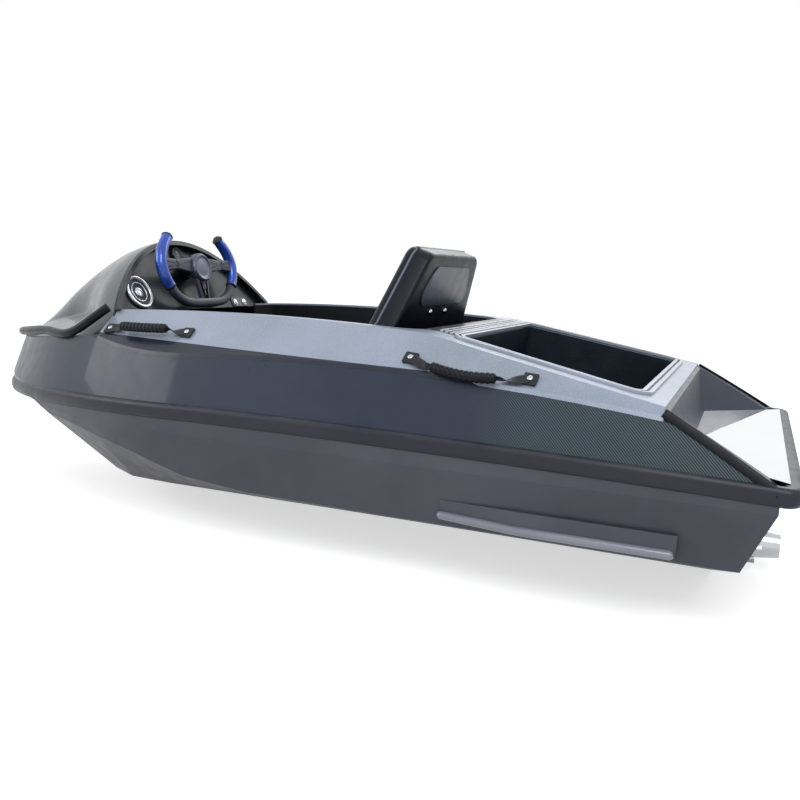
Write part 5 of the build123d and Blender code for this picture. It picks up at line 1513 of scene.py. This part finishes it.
@dataclass
class HullTrims:
    """Raised bands along the stern arches, and rails on the sponsons lighter than the hull as a painted
    highlight.
    """

    arch: tuple = ((-1.243, 0.352), (-1.140, 0.412), (-1.013, 0.482))
    band_half: float = 0.010
    band_thick: float = 0.0035
    rail_radius: float = 0.0102
    rail_height: float = 0.183
    rail_knots: tuple = ((-0.540, 0.5262), (-0.640, 0.5429), (-0.695, 0.5520), (-0.725, 0.5560),
                         (-0.760, 0.5568), (-0.900, 0.5566), (-1.050, 0.5566))

    def side_breadth(self, height: np.ndarray) -> np.ndarray:
        """Half breadth of the topside at a height, b - (z - z0) tan(taper)."""
        return 0.568 - (height - 0.350) * math.tan(math.radians(19.2))

    def arches(self) -> None:
        """Flat dark band just under the edge of each stern arch."""
        x, z = arc_through(*self.arch, 90).T
        z = z - self.band_half
        path = np.column_stack([x, self.side_breadth(z) + 0.001, z])
        flat = superellipse(self.band_thick, self.band_half, 3.0, 24)
        band = sweep(path, flat, np.array([0, -0.329, 0.944]))
        dress(both_hands("arch_bands", band), TRIM_RUBBER, "boat", "rubber_black")

    def rails(self) -> None:
        """Rounded rail along the upper edge of each sponson, in a lighter gelcoat that paints its highlight.
        """
        path = smooth_path([(x, y, self.rail_height) for x, y in self.rail_knots], 120)
        path, radii = dome_ends(path, self.rail_radius)
        # Lighter gelcoat: a painted highlight on the rail.
        dress(both_hands("sponson_rails", tube(path, radii)), RAIL_PAINTED_HIGHLIGHT, "boat", "hull_shell")

    def build(self) -> None:
        """Build bands and rails."""
        self.arches()
        self.rails()


@dataclass
class Dressing:
    """Finishes of the CAD nodes that keep their own shape."""

    def apply(self) -> None:
        """Give every carried-over node its finish."""
        table = (
            (LOWER_GELCOAT, "hull sponsons"),
            (GELCOAT, "deck_moulding"),
            (SILVER, "side_decks cockpit_coaming rear_deck"),
            (DECK, "tub_frame deck_ribs"),
            (GLOSS_FLOOR, "stern_floor"),
            (BUMPER_RUBBER, "bumper"),
            (LINER, "cockpit_liner seat_base"),
            (TUB, "rear_tub"),
            (HOOD_GLOSS, "hood"),
            (DASH_GLOSS, "dash_panel"),
            (TRIM_RUBBER, "hood_trim dash_rim column_boss front_handles rear_handles"),
            (SPEAKER_RING, "speaker"),
            (WHEEL_VINYL, "steering_wheel"),
            (BLUE_GRIP, "wheel_grips"),
            (GRIP_CAP, "grip_caps"),
            (DARK_METAL, "gauge steering_shaft hub_disc backrest_foot intake_grate"),
            (VINYL, "seat_cushion backrest_cushion backrest_shell"),
            (SEAT_PANEL, "backrest_panel"),
            (STRAP_WEB, "handle_plates"),
            (STEEL, "switches seat_bolts impeller drive_shaft flange_bolts steering_nozzle"),
            (CAST_METAL, "pump_housing jet_outlet engine_block"),
        )
        for finish, names in table:
            for name in names.split():
                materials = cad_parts[name].data.materials
                materials.clear()
                materials.append(finish.material())


@dataclass
class Studio:
    """Pale floor, white surroundings, soft lamps and the camera."""

    eye: tuple = (-1.1677, 2.3126, 0.7449)
    right: tuple = (-0.9205, -0.3887, 0.0395)
    upward: tuple = (0.0963, -0.1277, 0.9871)
    forward: tuple = (0.3787, -0.9124, -0.1550)
    lens_mm: float = 38.0

    def camera(self) -> None:
        """Place the camera at the photograph's angle."""
        data = bpy.data.cameras.new("camera")
        data.lens = self.lens_mm
        data.sensor_width = 36.0
        data.clip_start, data.clip_end = 0.05, 200.0
        camera = placed("camera", data)
        axes = np.array([self.right, self.upward, -np.array(self.forward)]).T
        turn = Matrix(axes.tolist()).to_4x4()
        camera.matrix_world = Matrix.Translation(self.eye) @ turn
        bpy.context.scene.camera = camera

    def lamp(self, name: str, place: tuple, aim: tuple, size: tuple, power: float) -> None:
        """Add one soft rectangular lamp.

        Args:
            name: The lamp's name.
            place: Where it stands.
            aim: The point that it faces.
            size: Its width and height.
            power: Its power in watts.
        """
        data = bpy.data.lights.new(name, "AREA")
        data.shape = "RECTANGLE"
        data.size, data.size_y = size
        data.energy = power
        lamp = placed(name, data)
        towards = Matrix.Translation(place).to_translation() - Matrix.Translation(aim).to_translation()
        lamp.matrix_world = Matrix.Translation(place) @ towards.to_track_quat("Z", "Y").to_matrix().to_4x4()

    def surroundings(self) -> None:
        """White for the camera and for mirrors, plain grey light for the rest."""
        world = bpy.data.worlds.new("surroundings")
        bpy.context.scene.world = world
        shader = fresh_shader(world)
        path = shader.add("ShaderNodeLightPath")
        seen = shader.math("MAXIMUM", path.outputs["Is Camera Ray"], path.outputs["Is Transmission Ray"])
        seen = shader.math("MAXIMUM", seen, path.outputs["Is Glossy Ray"])
        level = shader.ramp(seen, 0.0, 1.0, 0.55, 1.0)
        glow = shader.add("ShaderNodeBackground", {"Color": (1, 1, 1, 1), "Strength": level})
        shader.add("ShaderNodeOutputWorld", {"Surface": glow.outputs[0]})

    def floor(self) -> None:
        """Large pale floor that reads white to the camera outside the shadow."""
        half = 60.0
        points = np.array([[-half, -half, 0], [half, -half, 0], [half, half, 0], [-half, half, 0]], float)
        floor = mesh_object("floor", points, [np.array([[0, 1, 2, 3]])], None)
        material = bpy.data.materials.new("studio_floor")
        shader = fresh_shader(material)
        matte = shader.add("ShaderNodeBsdfDiffuse", {"Color": (0.82, 0.82, 0.82, 1)})
        path = shader.add("ShaderNodeLightPath")
        mirror = shader.times(path.outputs["Is Glossy Ray"], 0.3)
        seen = shader.math("MULTIPLY_ADD", path.outputs["Is Camera Ray"], 0.62, mirror)
        glow = shader.add("ShaderNodeEmission", {"Color": (1, 1, 1, 1), "Strength": seen})
        both = shader.add("ShaderNodeAddShader", {0: matte.outputs[0], 1: glow.outputs[0]})
        shader.add("ShaderNodeOutputMaterial", {"Surface": both.outputs[0]})
        floor.data.materials.append(material)

    def build(self) -> None:
        """Set up the whole studio."""
        self.camera()
        self.surroundings()
        self.floor()
        self.lamp("key", (-1.8, 3.4, 3.6), (0, 0, 0.3), (3.0, 2.2), 90.0)
        self.lamp("bow_fill", (3.6, 2.4, 2.2), (0.4, 0, 0.3), (2.4, 1.8), 45.0)
        self.lamp("far_rim", (-0.6, -3.2, 2.8), (0, 0, 0.4), (3.6, 1.6), 60.0)
        bpy.context.scene.view_settings.view_transform = "Standard"


def main() -> None:
    """Build the boat piece by piece and set up the studio."""
    logging.basicConfig(level=logging.INFO, format="%(name)s: %(message)s")
    EffectLibrary()
    Dressing().apply()
    outline = PlanOutline()
    Bumper().build(outline, Sheer())
    SteeringWheel().build()
    Instruments().build()
    SeatBack().build()
    for cushion in CUSHIONS:
        cushion.build()
    GrabHandles().build()
    HullTrims().build()
    Hood().build()
    Studio().build()


if __name__ == "__main__":
    main()
